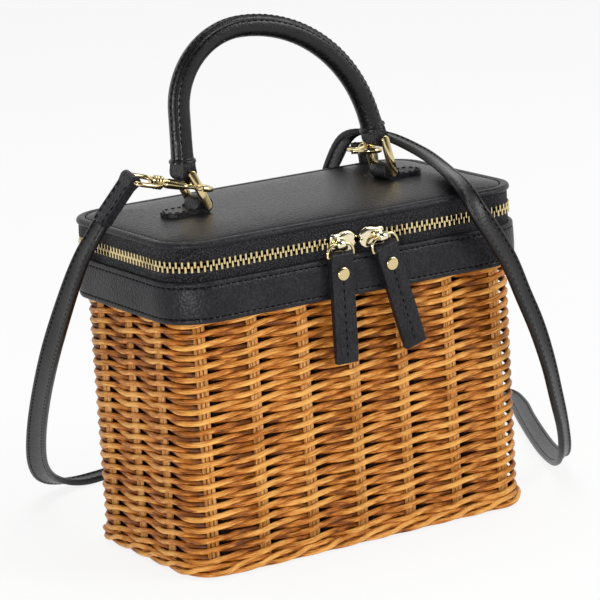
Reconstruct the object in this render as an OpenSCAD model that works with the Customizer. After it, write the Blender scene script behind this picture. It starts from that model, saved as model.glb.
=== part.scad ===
// Basket box bag: a woven cane body with a leather rim band, a zipped leather lid,
// a rolled top handle on two rings and a clip-on shoulder strap.
// Millimetres, +Z up, front towards -Y, origin in the middle of the underside.

/* [Body] */
// Width over the leather rim band
body_w = 200; // [180:1:230]
// Depth over the leather rim band
body_d = 114; // [104:1:135]
// Plan radius of the rim band's corners
corner_r = 22; // [19:1:28]
// Height of the rim band's lower edge
band_z = 124; // [105:1:150]
// Height of the rim band
band_h = 20; // [16:1:26]
// Thickness of the rim band
band_t = 2; // [1.5:0.1:2.4]

/* [Weave] */
// Height of one woven row
row_pitch = 5.2; // [4.5:0.1:7]
// Distance between two upright stakes
stake_gap = 29; // [24:1:36]
// Thickness of the woven wall
weave_t = 7; // [5.5:0.1:8]
// Depth of the valley beside a stake
weave_relief = 3; // [1:0.1:3.4]
// Rise of a strand over half a stake gap
strand_slant = 1.1; // [0:0.1:1.6]
// Radius of the rope along the foot
rope_r = 1.7; // [1.2:0.1:2]
// Height of the foot rope's waves
rope_wave = 2.4; // [1:0.1:3]
// Thickness of the fabric lining
lining_t = 1.2; // [0.8:0.1:2]
// Thickness of the leather facing on the basket's mouth
facing_t = 2.2; // [1.5:0.1:3]

/* [Zip] */
// Height between the rim band and the lid
zip_h = 15.6; // [14.6:0.1:18]
// Distance of the zip's middle from the rim band's outer face
zip_inset = 2.7; // [2.5:0.1:3]
// Thickness of the zip tape
tape_t = 0.8; // [0.5:0.1:1]
// Distance between two teeth of one row
tooth_pitch = 2.9; // [2.5:0.1:3.6]
// Length of a tooth along the tape
tooth_w = 1.2; // [0.9:0.1:1.2]
// Thickness of a tooth through the tape
tooth_t = 2.6; // [2.2:0.1:2.7]
// Height of a tooth
tooth_h = 3.4; // [2.8:0.1:3.6]
// Height by which the two rows of teeth overlap
tooth_mesh = 1.2; // [0.6:0.1:1.6]
// Height of the bead that the teeth are clamped on
bead_h = 1.2; // [0.8:0.1:1.4]
// Where the two sliders meet, from the middle of the front
meet_x = -0.5; // [-20:0.1:20]
// Length of a slider
slider_l = 14.4; // [12:0.1:17]
// Height of a slider at its nose
slider_h = 10.2; // [9.6:0.1:11.4]
// Thickness of a slider's plates
plate_t = 1.5; // [1.2:0.1:2]

/* [Pulls] */
// Width of a pull tab
tab_w = 12; // [9:0.5:15]
// Length of a pull tab
tab_l = 52; // [35:1:65]
// Thickness of a pull tab
tab_t = 3; // [2.2:0.1:3.4]
// Tilt of the right pull tab
right_tilt = 15.5; // [0:0.5:20]
// Diameter of the pull ring's wire
wire_d = 1.6; // [1.2:0.1:1.8]
// Height of the pull ring between its bars
pull_h = 5.8; // [5.4:0.1:8]
// Diameter of a rivet's cap
rivet_d = 6.5; // [4.5:0.1:8]

/* [Lid] */
// Thickness of the lid's edge
lid_edge = 2.4; // [1.6:0.1:3.2]
// Rise of the lid from its edge to its flat top
lid_crown = 3; // [1:0.1:5]
// Distance of the flat top from the lid's edge
crown_run = 28; // [16:1:32]
// Distance of the lid's edge from the rim band's outer face
lid_inset = 1; // [0.5:0.1:1.6]

/* [Handle] */
// Distance of each ring from the middle of the lid
ring_x = 53; // [46:1:62]
// Height of a ring between its bars
ring_h = 17.5; // [16:0.5:24]
// Width of the gap inside a ring
ring_in = 15; // [13.5:0.5:18]
// Lean of the left ring
lean_left = 25; // [15:1:25]
// Lean of the right ring
lean_right = 13; // [6:1:16]
// Diameter of the rolled handle
handle_d = 10.6; // [9:0.1:12]
// Radius of the handle's left shoulder
shoulder_r = 36; // [28:1:40]
// Sweep of the handle's long right curve
right_sweep = 74; // [66:1:78]
// Straight length of the handle's right foot
right_foot = 12.4; // [11:0.1:18]

/* [Strap] */
// Width of the shoulder strap
strap_w = 10.5; // [8:0.1:11]
// Thickness of the shoulder strap
strap_t = 3.4; // [2.4:0.1:3.6]
// Length of the strap's doubled ends
end_l = 25; // [24:1:26]

/* [Hidden] */
$fn = 64;

// Colours
CANE = "#B9782F";
LEATHER = "#1D1D20";
CLOTH = "#26242A";
TAPE = "#111114";
GOLD = "#E3C77E";

// Room left between pieces that move on each other
running = 0.3;
// Room between the woven wall and the rim band or the lining
seat_gap = 0.3;
// Half lengths of the straight stretches of the plan
hx = body_w / 2 - corner_r;
hy = body_d / 2 - corner_r;
// Long enough to cut across a wall
reach = 80;

// Levels
band_top = band_z + band_h;
weave_z0 = 2 * rope_r + rope_wave;
weave_top = band_top - facing_t;
lid_z = band_top + zip_h;
lid_top = lid_z + lid_edge + lid_crown;
zip_z = band_top + zip_h * 0.45;
lower_lo = zip_z + tooth_mesh / 2 - tooth_h;
lower_hi = zip_z + tooth_mesh / 2;
upper_lo = zip_z - tooth_mesh / 2;
upper_hi = zip_z - tooth_mesh / 2 + tooth_h;

// Insets from the rim band's outer face
weave_inset = band_t + seat_gap;
weave_inner = weave_inset + weave_t;
lining_inset = weave_inner + seat_gap;
tape_out = zip_inset - tape_t / 2;
tape_in = zip_inset + tape_t / 2;
bead_t = 2 * tape_t;

// Woven rows and stakes
weave_mid = weave_inset + weave_t / 2;
weave_len = 4 * (hx + hy) + 2 * PI * (corner_r - weave_mid);
n_stake = 2 * round(weave_len / stake_gap / 2);
COL_PER_STAKE = 4;
n_col = n_stake * COL_PER_STAKE;
n_row = round((weave_top - weave_z0) / row_pitch);
row_h = (weave_top - weave_z0) / n_row;
// Share of the relief that each of the four columns of a stake gap stands back
PEAK_BACK = [0, 0.12, 0.35, 0.12];
VALLEY_BACK = [1, 1, 0.55, 1];
STRAND_RISE = [0, 1, 0, -1];

// Plan of the bag
module plan(inset) {
    r = corner_r - inset;
    square([2 * (hx + r), 2 * hy], center = true);
    square([2 * hx, 2 * (hy + r)], center = true);
    for (x = [-hx, hx], y = [-hy, hy]) translate([x, y]) circle(r);
}

module plan_wall(outer, inner) {
    difference() {
        plan(outer);
        plan(inner);
    }
}

// The part of the plan behind the middles of the two back corners
module back_part() {
    polygon([[-hx, hy], [-hx - reach, hy + reach], [hx + reach, hy + reach], [hx, hy]]);
}

// Point and heading on the plan, counted from the middle of the front to the right
function half_len(e) = hx + PI / 2 * (corner_r - e) + 2 * hy + PI / 4 * (corner_r - e);
function plan_point(t, e) =
    let (r = corner_r - e, arc = PI / 2 * r, u = abs(t), side = t < 0 ? -1 : 1,
         a = 180 / PI / r,
         p = u <= hx ? [u, -hy - r]
           : u <= hx + arc ? [hx + r * sin((u - hx) * a), -hy - r * cos((u - hx) * a)]
           : u <= hx + arc + 2 * hy ? [hx + r, -hy + (u - hx - arc)]
           : let (v = u - hx - arc - 2 * hy)
             v <= arc ? [hx + r * cos(v * a), hy + r * sin(v * a)]
           : [hx - (v - arc), hy + r])
    [side * p.x, p.y];
function plan_heading(t, e) =
    let (r = corner_r - e, arc = PI / 2 * r, u = abs(t), side = t < 0 ? -1 : 1, a = 180 / PI / r,
         h = u <= hx ? 0
           : u <= hx + arc ? (u - hx) * a
           : u <= hx + arc + 2 * hy ? 90
           : min(180, 90 + (u - hx - arc - 2 * hy) * a))
    side * h;

// The same plan with points that stay square to the wall at every inset
function wall_point(t, e) =
    let (p = plan_point(t, weave_mid), h = plan_heading(t, weave_mid), d = e - weave_mid)
    [p.x - d * sin(h), p.y + d * cos(h)];
function wall_pos(col) =
    let (s = col * weave_len / n_col) s <= weave_len / 2 ? s : s - weave_len;

// Basket
module base_panel() {
    color(CANE) linear_extrude(weave_z0) plan(weave_inset + 2 * rope_r + seat_gap);
}

function rope_ring(col, sides) =
    let (t = wall_pos(col), mid = weave_inset + rope_r,
         z = rope_r + rope_wave * (1 + cos(360 * col / COL_PER_STAKE)) / 2)
    [for (k = [0 : sides - 1])
        let (a = 360 * k / sides, p = wall_point(t, mid + rope_r * cos(a)))
        [p.x, p.y, z + rope_r * sin(a)]];

module foot_border() {
    sides = 8;
    points = [for (c = [0 : n_col - 1]) each rope_ring(c, sides)];
    faces = [for (c = [0 : n_col - 1], k = [0 : sides - 1])
        let (d = (c + 1) % n_col, m = (k + 1) % sides,
             a = c * sides + k, b = c * sides + m, e = d * sides + k, f = d * sides + m)
        each [[a, e, b], [b, e, f]]];
    color(CANE) polyhedron(points, faces, convexity = 10);
}

// One level of the wall's outer face: odd levels ride over a row, even ones lie between two rows
function weave_point(level, col) =
    let (q = col % COL_PER_STAKE, end = level == 0 || level == 2 * n_row,
         back = (level % 2 == 1 ? PEAK_BACK[q] : VALLEY_BACK[q]) * weave_relief,
         rise = end ? 0 : STRAND_RISE[q] * strand_slant,
         p = wall_point(wall_pos(col), weave_inset + back))
    [p.x, p.y, weave_z0 + level * row_h / 2 + rise];
function weave_inner_point(z, col) =
    let (p = wall_point(wall_pos(col), weave_inner)) [p.x, p.y, z];

module woven_wall() {
    levels = 2 * n_row;
    points = concat(
        [for (l = [0 : levels], c = [0 : n_col - 1]) weave_point(l, c)],
        [for (z = [weave_z0, weave_top], c = [0 : n_col - 1]) weave_inner_point(z, c)]);
    low_in = (levels + 1) * n_col;
    top_in = low_in + n_col;
    faces = [for (c = [0 : n_col - 1])
        let (d = (c + 1) % n_col)
        each concat(
            [for (l = [0 : levels - 1])
                let (a = l * n_col + c, b = l * n_col + d, e = a + n_col, f = b + n_col)
                each [[a, e, b], [b, e, f]]],
            [[c, d, low_in + c], [d, low_in + d, low_in + c],
             [low_in + c, low_in + d, top_in + c], [low_in + d, top_in + d, top_in + c],
             [levels * n_col + c, top_in + c, levels * n_col + d],
             [levels * n_col + d, top_in + c, top_in + d]])];
    color(CANE) polyhedron(points, faces, convexity = 10);
}

module lining() {
    color(CLOTH) difference() {
        translate([0, 0, weave_z0]) linear_extrude(weave_top - weave_z0) plan(lining_inset);
        translate([0, 0, weave_z0 + lining_t])
            linear_extrude(weave_top) plan(lining_inset + lining_t);
    }
}

module rim_facing() {
    color(LEATHER) translate([0, 0, weave_top])
        linear_extrude(facing_t) plan_wall(tape_in + seat_gap, lining_inset + lining_t);
}

module rim_band() {
    color(LEATHER) translate([0, 0, band_z]) linear_extrude(band_h) plan_wall(0, band_t);
}

// Zip
module tape(low, high) {
    color(TAPE) translate([0, 0, low]) linear_extrude(high - low) difference() {
        plan_wall(tape_out, tape_in);
        back_part();
    }
}

module lower_tape() {
    tape(weave_top, lower_lo);
}

module upper_tape() {
    tape(upper_hi, lid_z);
}

stop_l = 3;
zip_half = half_len(zip_inset) - stop_l - tooth_pitch;
n_tooth = floor(zip_half / tooth_pitch);
// Teeth are parted, and left out, where the sliders' wedges stand
parted = slider_l / 2 + tooth_pitch / 2;

module teeth(shift, low, high, bead_low) {
    color(GOLD) union() {
        translate([0, 0, low]) linear_extrude(high - low)
            for (i = [0 : n_tooth - 1], side = [-1, 1])
                let (t = side * (i + shift) * tooth_pitch, p = plan_point(t, zip_inset))
                    if ((side > 0 || i + shift > 0) && abs(p.x - meet_x) + (p.y > 0 ? reach : 0) > parted)
                        translate(p) rotate(plan_heading(t, zip_inset))
                            square([tooth_w, tooth_t], center = true);
        translate([0, 0, bead_low]) linear_extrude(bead_h) difference() {
            plan_wall(zip_inset - bead_t / 2, zip_inset + bead_t / 2);
            back_part();
        }
    }
}

module lower_teeth() {
    teeth(0.5, lower_lo, lower_hi, lower_lo);
}

module upper_teeth() {
    teeth(0, upper_lo, upper_hi, upper_hi - bead_h);
}

// Metal stops that end the lower row of teeth at the two back corners
module zip_end_stops() {
    stop_h = tooth_h - bead_h - running;
    color(GOLD) translate([0, 0, lower_lo + bead_h]) linear_extrude(stop_h)
        for (side = [-1, 1])
            let (t = side * (half_len(zip_inset) - stop_l / 2 - tooth_t))
                translate(plan_point(t, zip_inset)) rotate(plan_heading(t, zip_inset))
                    square([stop_l, tooth_t], center = true);
}

hinge_out = 0.5;
hinge_t = 1.6;

module hinge_strip() {
    color(LEATHER) translate([0, 0, band_top]) linear_extrude(zip_h) intersection() {
        plan_wall(max(hinge_out, lid_inset), hinge_out + hinge_t);
        back_part();
    }
}

// Sliders
wire_r = wire_d / 2;
eye_wall = 0.8;
eye_r = tab_t / 2 + eye_wall;
plate_in = tooth_t / 2 + 1.5 * running;
slider_y = -body_d / 2 + zip_inset;
lug_r = 2.6;
lug_l = 4.2;
lug_bore = wire_d;
// Distance of the crown behind the slider's middle, and in front of the zip
lug_back = 4;
lug_out = plate_in + plate_t + eye_r + 1.5 * running;
lug_y = slider_y - lug_out;
nose_r = slider_h / 2;
nose_notch = 1.2;
tail_waist = 1.6;
wedge = 2.2;
wedge_x = slider_l / 2 - nose_r + wedge / 6;
lip_h = 1.2;
lip_up = 0.8;
nose_gap = 0.7;
function slider_x(side) = meet_x + side * (slider_l / 2 + nose_gap);

// Outline of a plate: round shoulders at the nose, a narrower tail, a notch between the two mouths
module plate_outline() {
    tail_h = slider_h - tail_waist;
    difference() {
        union() {
            translate([slider_l / 2 - nose_r, 0]) circle(nose_r);
            translate([-slider_l / 2, -tail_h / 2]) square([slider_l - nose_r, tail_h]);
        }
        translate([slider_l / 2, 0]) circle(nose_notch);
    }
}

// A slider at the zip's middle, its nose towards +X
module slider_form() {
    color(GOLD) difference() {
        union() {
            for (y = [-plate_in - plate_t, plate_in])
                translate([0, y + plate_t, 0]) rotate([90, 0, 0])
                    linear_extrude(plate_t) plate_outline();
            // Wedge that parts the two rows of teeth
            translate([wedge_x, 0, 0]) rotate([90, 45, 0])
                cube([wedge, wedge, 2 * plate_in + plate_t], center = true);
            // Lips under the lower row of teeth
            for (side = [-1, 1])
                translate([-slider_l / 4, side * (plate_in + tape_t / 2 + running) / 2,
                           -slider_h / 2 + lip_up + lip_h / 2])
                    cube([slider_l / 2, plate_in - tape_t / 2 - running, lip_h], center = true);
            // Crown that carries the pull ring
            translate([-lug_back, -lug_out, 0]) rotate([0, 90, 0])
                cylinder(r = lug_r, h = lug_l, center = true);
            translate([-lug_back - lug_l / 2, -lug_out, -lug_r])
                cube([lug_l, lug_out - plate_in - plate_t / 2, 2 * lug_r]);
        }
        translate([-lug_back, -lug_out, 0]) rotate([0, 90, 0])
            cylinder(r = lug_bore, h = reach, center = true);
    }
}

module slider_left() {
    translate([slider_x(-1), slider_y, zip_z]) slider_form();
}

module slider_right() {
    translate([slider_x(1), slider_y, zip_z]) mirror([1, 0, 0]) slider_form();
}

// Pulls hang in front of the rim band, each about the bore in its slider's crown
pull_w = tab_w + 2 * wire_r + 2 * running;
side_wire = wire_r - 0.1;
eye_bore = wire_r + running;
rivet_z = -8.4;
rivet_r = rivet_d / 2;
rivet_pin = 1.5;

// Lay a pull on its slider: the bore's axis is X, tilted for the right one
module at_pull(side) {
    translate([slider_x(side) + side * lug_back, lug_y, zip_z])
        rotate([0, side > 0 ? -right_tilt : 0, 0]) children();
}

module pull_ring_form() {
    color(GOLD) {
        for (z = [0, -pull_h])
            translate([0, 0, z]) rotate([0, 90, 0])
                cylinder(r = wire_r, h = pull_w + 2 * wire_r, center = true);
        for (x = [-pull_w / 2, pull_w / 2])
            translate([x, 0, -pull_h]) cylinder(r = side_wire, h = pull_h);
    }
}

module pull_ring_left() {
    at_pull(-1) pull_ring_form();
}

module pull_ring_right() {
    at_pull(1) pull_ring_form();
}

module pull_tab_form() {
    color(LEATHER) translate([0, 0, -pull_h]) difference() {
        union() {
            rotate([0, 90, 0]) cylinder(r = eye_r, h = tab_w, center = true);
            translate([-tab_w / 2, -tab_t / 2, -tab_l]) cube([tab_w, tab_t, tab_l]);
        }
        rotate([0, 90, 0]) cylinder(r = eye_bore, h = reach, center = true);
        translate([0, 0, rivet_z]) rotate([90, 0, 0]) cylinder(r = rivet_pin, h = reach, center = true);
    }
}

module pull_tab_left() {
    at_pull(-1) pull_tab_form();
}

module pull_tab_right() {
    at_pull(1) pull_tab_form();
}

// Rivet through a tab: a domed cap in front, a pin, and a thin washer behind
module rivet_form() {
    cap_t = 1.2;
    washer_t = 0.6;
    washer_r = 0.8 * rivet_r;
    dome_r = (rivet_r * rivet_r + cap_t * cap_t) / (2 * cap_t);
    color(GOLD) translate([0, 0, -pull_h + rivet_z]) rotate([90, 0, 0]) {
        translate([0, 0, -tab_t / 2]) cylinder(r = rivet_pin, h = tab_t);
        intersection() {
            translate([0, 0, tab_t / 2]) cylinder(r = rivet_r, h = cap_t);
            translate([0, 0, tab_t / 2 + cap_t - dome_r]) sphere(dome_r);
        }
        translate([0, 0, -tab_t / 2 - washer_t]) cylinder(r = washer_r, h = washer_t);
    }
}

module rivet_left() {
    at_pull(-1) rivet_form();
}

module rivet_right() {
    at_pull(1) rivet_form();
}

// Lid
layer = 0.05;
// Rounding of the lid's lower and upper edge
edge_in = 0.5;
edge_up = 0.6;

module lid_layer(z, inset) {
    translate([0, 0, z]) linear_extrude(layer) plan(lid_inset + inset, $fn = 40);
}

module lid_panel() {
    color(LEATHER) hull() {
        lid_layer(lid_z, edge_in);
        lid_layer(lid_z + edge_up, 0);
        lid_layer(lid_z + lid_edge - edge_up, 0);
        lid_layer(lid_z + lid_edge + lid_crown * 0.25, crown_run * 0.1);
        lid_layer(lid_z + lid_edge + lid_crown * 0.7, crown_run * 0.5);
        lid_layer(lid_top - layer, crown_run);
    }
}

module lid_lining() {
    color(CLOTH) translate([0, 0, lid_z - lining_t]) linear_extrude(lining_t)
        plan(zip_inset + tooth_t / 2 + seat_gap);
}

// Chapes: leather loops sewn flat on the lid, each round the lower bar of its ring
bar_r = 1.5;
chape_r = 3.7;
chape_w = ring_in - 1;
chape_l = 22;
chape_t = 3.2;
pivot_z = lid_top + chape_r;

module chape_form() {
    color(LEATHER) difference() {
        union() {
            rotate([90, 0, 0]) cylinder(r = chape_r, h = chape_w, center = true);
            translate([-chape_l + chape_w / 2, -chape_w / 2, -chape_r])
                cube([chape_l - chape_w / 2, chape_w, chape_t]);
            translate([-chape_l + chape_w / 2, 0, -chape_r]) cylinder(d = chape_w, h = chape_t);
        }
        rotate([90, 0, 0]) cylinder(r = bar_r + running, h = reach, center = true);
    }
}

module chape_left() {
    translate([-ring_x, 0, pivot_z]) chape_form();
}

module chape_right() {
    translate([ring_x, 0, pivot_z]) mirror([1, 0, 0]) chape_form();
}

// Rings: round bars above and below, flat bars at the sides
side_w = 4;
side_t = 2.2;
side_y = (ring_in + side_t) / 2;

module ring_form() {
    color(GOLD) {
        for (z = [0, ring_h]) translate([0, 0, z]) rotate([90, 0, 0])
            cylinder(r = bar_r, h = ring_in + side_t, center = true);
        for (y = [-side_y, side_y]) translate([0, y, 0]) rotate([90, 0, 0]) {
            for (z = [0, ring_h]) translate([0, z, 0]) cylinder(d = side_w, h = side_t, center = true);
            translate([0, ring_h / 2, 0]) cube([side_w, ring_h, side_t], center = true);
        }
    }
}

module ring_left() {
    translate([-ring_x, 0, pivot_z]) rotate([0, -lean_left, 0]) ring_form();
}

module ring_right() {
    translate([ring_x, 0, pivot_z]) rotate([0, -lean_right, 0]) ring_form();
}

// Handle: it runs from the left ring's upper bar to the right one's
left_x = -ring_x - ring_h * sin(lean_left);
left_z = pivot_z + ring_h * cos(lean_left);
right_x = ring_x - ring_h * sin(lean_right);
right_z = pivot_z + ring_h * cos(lean_right);
long_r = (right_x - left_x - shoulder_r - right_foot * cos(right_sweep)) / sin(right_sweep);
left_leg = right_z - left_z - shoulder_r + long_r * (1 - cos(right_sweep))
         + right_foot * sin(right_sweep);
crest_x = left_x + shoulder_r;
crest_z = left_z + left_leg + shoulder_r;
neck = 9;
collar_h = 3.4;
collar_out = 0.6;
// Filler cord that joins the handle's lengths inside its leather
filler_d = 6;
filler_l = 3;
loop_r = 3.9;
loop_t = 2 * loop_r - 1;
loop_w = ring_in - 2;

module handle_arc(radius, from, sweep) {
    rotate([90, 0, 0]) rotate([0, 0, from]) rotate_extrude(angle = sweep)
        translate([radius, 0]) circle(d = handle_d);
}

// A straight foot of the handle with its sewn collar, from neck height up
module handle_foot(length) {
    translate([0, 0, neck]) {
        cylinder(d = handle_d, h = length - neck);
        cylinder(d = handle_d + 2 * collar_out, h = collar_h);
        translate([0, 0, length - neck - filler_l]) cylinder(d = filler_d, h = 2 * filler_l);
    }
}

module handle_grip() {
    color(LEATHER) {
        translate([left_x, 0, left_z]) handle_foot(left_leg);
        translate([crest_x, 0, crest_z - shoulder_r]) handle_arc(shoulder_r, 90, 90);
        translate([crest_x, 0, crest_z - long_r])
            handle_arc(long_r, 90 - right_sweep, right_sweep);
        translate([crest_x, 0, crest_z]) rotate([0, 90, 0])
            cylinder(d = filler_d, h = 2 * filler_l, center = true);
        translate([right_x, 0, right_z]) rotate([0, right_sweep - 90, 0]) handle_foot(right_foot);
    }
}

// Leather loop at the end of the handle, round the ring's upper bar
module handle_loop(room) {
    color(LEATHER) difference() {
        union() {
            rotate([90, 0, 0]) cylinder(r = loop_r, h = loop_w, center = true);
            translate([0, 0, neck / 2]) cube([loop_t, loop_w, neck], center = true);
        }
        rotate([90, 0, 0]) cylinder(r = bar_r + room, h = reach, center = true);
    }
}

module handle_loop_left() {
    translate([left_x, 0, left_z]) handle_loop(running);
}

module handle_loop_right() {
    translate([right_x, 0, right_z]) rotate([0, right_sweep - 90, 0]) handle_loop(2 * running);
}

// Snap hooks: X runs from the jaw to the strap, Y across the jaw, the ring's bar stands on Z
jaw_r = 4.6;
jaw_wire = 1.4;
bar_at = 1.5;
body_x = 11;
body_l = 9;
swivel_x = 22;
swivel_l = 4.5;
far_bar = 39;
link_r = 1.2;
link_in = strap_w + 1.4;
bolt_r = 1;
bolt_tip = 2.2;
bolt_in = 2.6;
bore_l = 8.4;
knob_x = 5;
knob_h = 3.4;
pin_r = 1.5;
head_r = 2.6;
head_h = 1.4;
drum_r = 3.4;
fold_wall = 1.4;
fold_slack = 0.6;
end_swell = 0.4;
// How far up its ring each hook hangs, and how it points
hook_up_left = 10.5;
hook_up_right = 9.5;
hook_rise_left = 14.7;
hook_drop_right = 8;
hook_turn_right = 64;
swivel_roll = -12;
end_drop_left = 68;
end_turn_right = -8;

module at_hook_left() {
    translate([-ring_x - hook_up_left * sin(lean_left), -side_y,
               pivot_z + hook_up_left * cos(lean_left)])
        rotate([0, hook_rise_left, 0]) rotate([0, 0, 180]) translate([-bar_at, 0, 0]) children();
}

module at_hook_right() {
    translate([ring_x - hook_up_right * sin(lean_right), side_y,
               pivot_z + hook_up_right * cos(lean_right)])
        rotate([0, 0, hook_turn_right]) rotate([0, hook_drop_right, 0])
            translate([-bar_at, 0, 0]) children();
}

module hook_form() {
    pin_l = swivel_x + swivel_l + running - body_x - body_l;
    color(GOLD) difference() {
        union() {
            // Jaw and spine
            rotate([0, 0, 90]) rotate_extrude(angle = 180) translate([jaw_r, 0]) circle(jaw_wire);
            translate([0, -jaw_r, 0]) rotate([0, 90, 0]) cylinder(r = jaw_wire, h = body_x + 1);
            translate([0, jaw_r, 0]) rotate([0, 90, 0])
                cylinder(r = jaw_wire, h = bolt_tip - running);
            // Body with the bolt's bore
            translate([body_x + body_l / 2, 0, 0])
                cube([body_l, 2 * jaw_r + 2 * jaw_wire, 2 * jaw_wire + 1], center = true);
            // Swivel pin and its head
            translate([body_x + body_l, 0, 0]) rotate([0, 90, 0]) cylinder(r = pin_r, h = pin_l);
            translate([body_x + body_l + pin_l, 0, 0]) rotate([0, 90, 0])
                cylinder(r = head_r, h = head_h);
        }
        translate([body_x - 1, jaw_r, 0]) rotate([0, 90, 0])
            cylinder(r = bolt_r + running, h = bore_l);
    }
}

module gate_form() {
    color(GOLD) translate([0, jaw_r, 0]) {
        translate([bolt_tip, 0, 0]) rotate([0, 90, 0])
            cylinder(r = bolt_r, h = body_x + bolt_in - bolt_tip);
        translate([knob_x, 0, 0]) rotate([-90, 0, 0]) cylinder(r = 1.2 * bolt_r, h = knob_h);
    }
}

module swivel_form() {
    arm_y = link_in / 2 + link_r;
    color(GOLD) {
        difference() {
            union() {
                translate([swivel_x, 0, 0]) rotate([0, 90, 0]) cylinder(r = drum_r, h = swivel_l);
                translate([swivel_x + swivel_l / 2, 0, 0])
                    cube([swivel_l, 2 * arm_y, 2 * link_r], center = true);
            }
            rotate([0, 90, 0]) cylinder(r = pin_r + running, h = reach);
        }
        for (y = [-arm_y, arm_y]) {
            translate([swivel_x, y, 0]) rotate([0, 90, 0])
                cylinder(r = link_r, h = far_bar - swivel_x);
            translate([far_bar, y, 0]) sphere(link_r);
        }
        translate([far_bar, 0, 0]) rotate([90, 0, 0])
            cylinder(r = link_r, h = 2 * arm_y, center = true);
    }
}

// Doubled end of the strap, folded round the swivel's far bar
module strap_end_form() {
    fold_r = strap_t / 2 + fold_wall;
    thick = strap_t + 2 * end_swell;
    color(LEATHER) difference() {
        union() {
            rotate([90, 0, 0]) cylinder(r = fold_r, h = strap_w, center = true);
            translate([0, -strap_w / 2, -thick / 2]) cube([end_l, strap_w, thick]);
        }
        rotate([90, 0, 0]) cylinder(r = link_r + running + fold_slack, h = reach, center = true);
    }
}

module hook_left() {
    at_hook_left() hook_form();
}

module hook_right() {
    at_hook_right() hook_form();
}

module gate_left() {
    at_hook_left() gate_form();
}

module gate_right() {
    at_hook_right() gate_form();
}

module swivel_left() {
    at_hook_left() rotate([swivel_roll, 0, 0]) swivel_form();
}

module swivel_right() {
    at_hook_right() swivel_form();
}

module strap_end_left() {
    at_hook_left() rotate([swivel_roll, 0, 0]) translate([far_bar, 0, 0])
        rotate([0, end_drop_left, 0]) strap_end_form();
}

module strap_end_right() {
    at_hook_right() translate([far_bar, 0, 0]) rotate([0, 0, end_turn_right]) strap_end_form();
}

// Shoulder strap: points along its middle, each with the way its flat face looks
ROUTE = [
    // Down the left side to the floor
    [[-108.7, -3.8, 167.9], [-8, -1, 6]], [[-113, -2, 161], [-8, -1, 5]],
    [[-117, 3, 151], [-9, -1, 3]], [[-120, 14, 132], [-9, -3, 2]],
    [[-119, 38, 101], [-9, -5, 0]], [[-113, 66, 70], [-9, -5, -1]],
    [[-104, 93, 42], [-8, -6, -3]], [[-93, 115, 21], [-5, -6, -7]],
    [[-79, 130, 8], [-2, -3, -9]],
    // Along the floor behind the basket, round to the right
    [[-60, 137, 2], [0, 0, -1]], [[-36, 140, 2], [0, 0, -1]],
    [[10, 146, 2], [0, 0, -1]], [[75, 155, 2], [0, 0, -1]],
    [[130, 164, 2], [0, 0, -1]], [[168, 162, 2], [0, 0, -1]],
    [[195, 148, 2], [0, 0, -1]], [[205, 126, 2], [0, 0, -1]],
    [[198, 102, 2], [0, 0, -1]], [[183, 73, 2], [0, 0, -1]],
    [[167, 41, 2], [1, 0, -9]], [[152, 10, 3], [2, -1, -9]],
    // Up past the front right corner and over the lid
    [[139, -18, 7], [4, -3, -8]], [[128, -38, 18], [6, -6, -5]],
    [[119, -50, 35], [5, -8, -2]], [[110, -58, 54], [3, -9, -1]],
    [[102, -64, 73], [1, -9, 0]], [[94, -67, 93], [0, -9, 1]],
    [[86, -68, 111], [0, -9, 1]], [[79, -68, 128], [0, -9, 2]],
    [[71, -67, 143], [0, -9, 2]], [[64, -65, 155], [1, -9, 3]],
    [[62, -58, 165], [1, -6, 7]], [[65, -46, 168.5], [0, -3, 9]],
    [[72, -28, 169], [0, -2, 9]], [[79, -8, 170], [0, -1, 9]],
    [[82, 12, 173], [1, 0, 9]], [[78, 31, 178], [1, 1, 9]],
    [[70, 42, 181], [0, 2, 9]],
    // A hanging loop behind the basket, up to the right hook
    [[66, 54, 177], [-1, 8, 6]], [[64, 65, 163], [-2, 9, 2]],
    [[62, 73, 147], [-6, 7, 1]], [[61, 78, 131], [-9, 3, 0]],
    [[66, 82, 117], [-7, 1, -6]], [[81, 85, 110], [0, 0, -9]],
    [[96, 87, 117], [7, 0, -6]], [[101, 88, 131], [9, 1, 0]],
    [[100, 87, 147], [8, 4, 3]], [[97, 83, 158], [6, 5, 6]],
    [[92, 77, 165], [3, 3, 8]], [[86, 70, 168], [1, 1, 9]],
    [[81.2, 62.8, 169.2], [1, 1, 9]]
];

function unit(v) = v / norm(v);
function spline(a, b, c, d, u) =
    0.5 * (2 * b + (c - a) * u + (2 * a - 5 * b + 4 * c - d) * u ^ 2
         + (3 * b - a - 3 * c + d) * u ^ 3);
function strap_at(i, which, u) =
    let (last = len(ROUTE) - 1, at = function (k) ROUTE[min(last, max(0, k))][which])
    spline(at(i - 1), at(i), at(i + 1), at(i + 2), u);

function strap_ring(k) =
    let (i = min(floor(k / 2), len(ROUTE) - 2), u = k / 2 - i, step = 0.05,
         p = strap_at(i, 0, u),
         t = unit(strap_at(i, 0, min(1, u + step)) - strap_at(i, 0, max(0, u - step))),
         n0 = strap_at(i, 1, u), n = unit(n0 - (n0 * t) * t), b = cross(t, n),
         w = strap_w / 2, h = strap_t / 2, c = h * 0.6)
    [for (q = [[w, -h + c], [w, h - c], [w - c, h], [c - w, h],
               [-w, h - c], [-w, c - h], [c - w, -h], [w - c, -h]])
        p + q.x * b + q.y * n];

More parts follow.
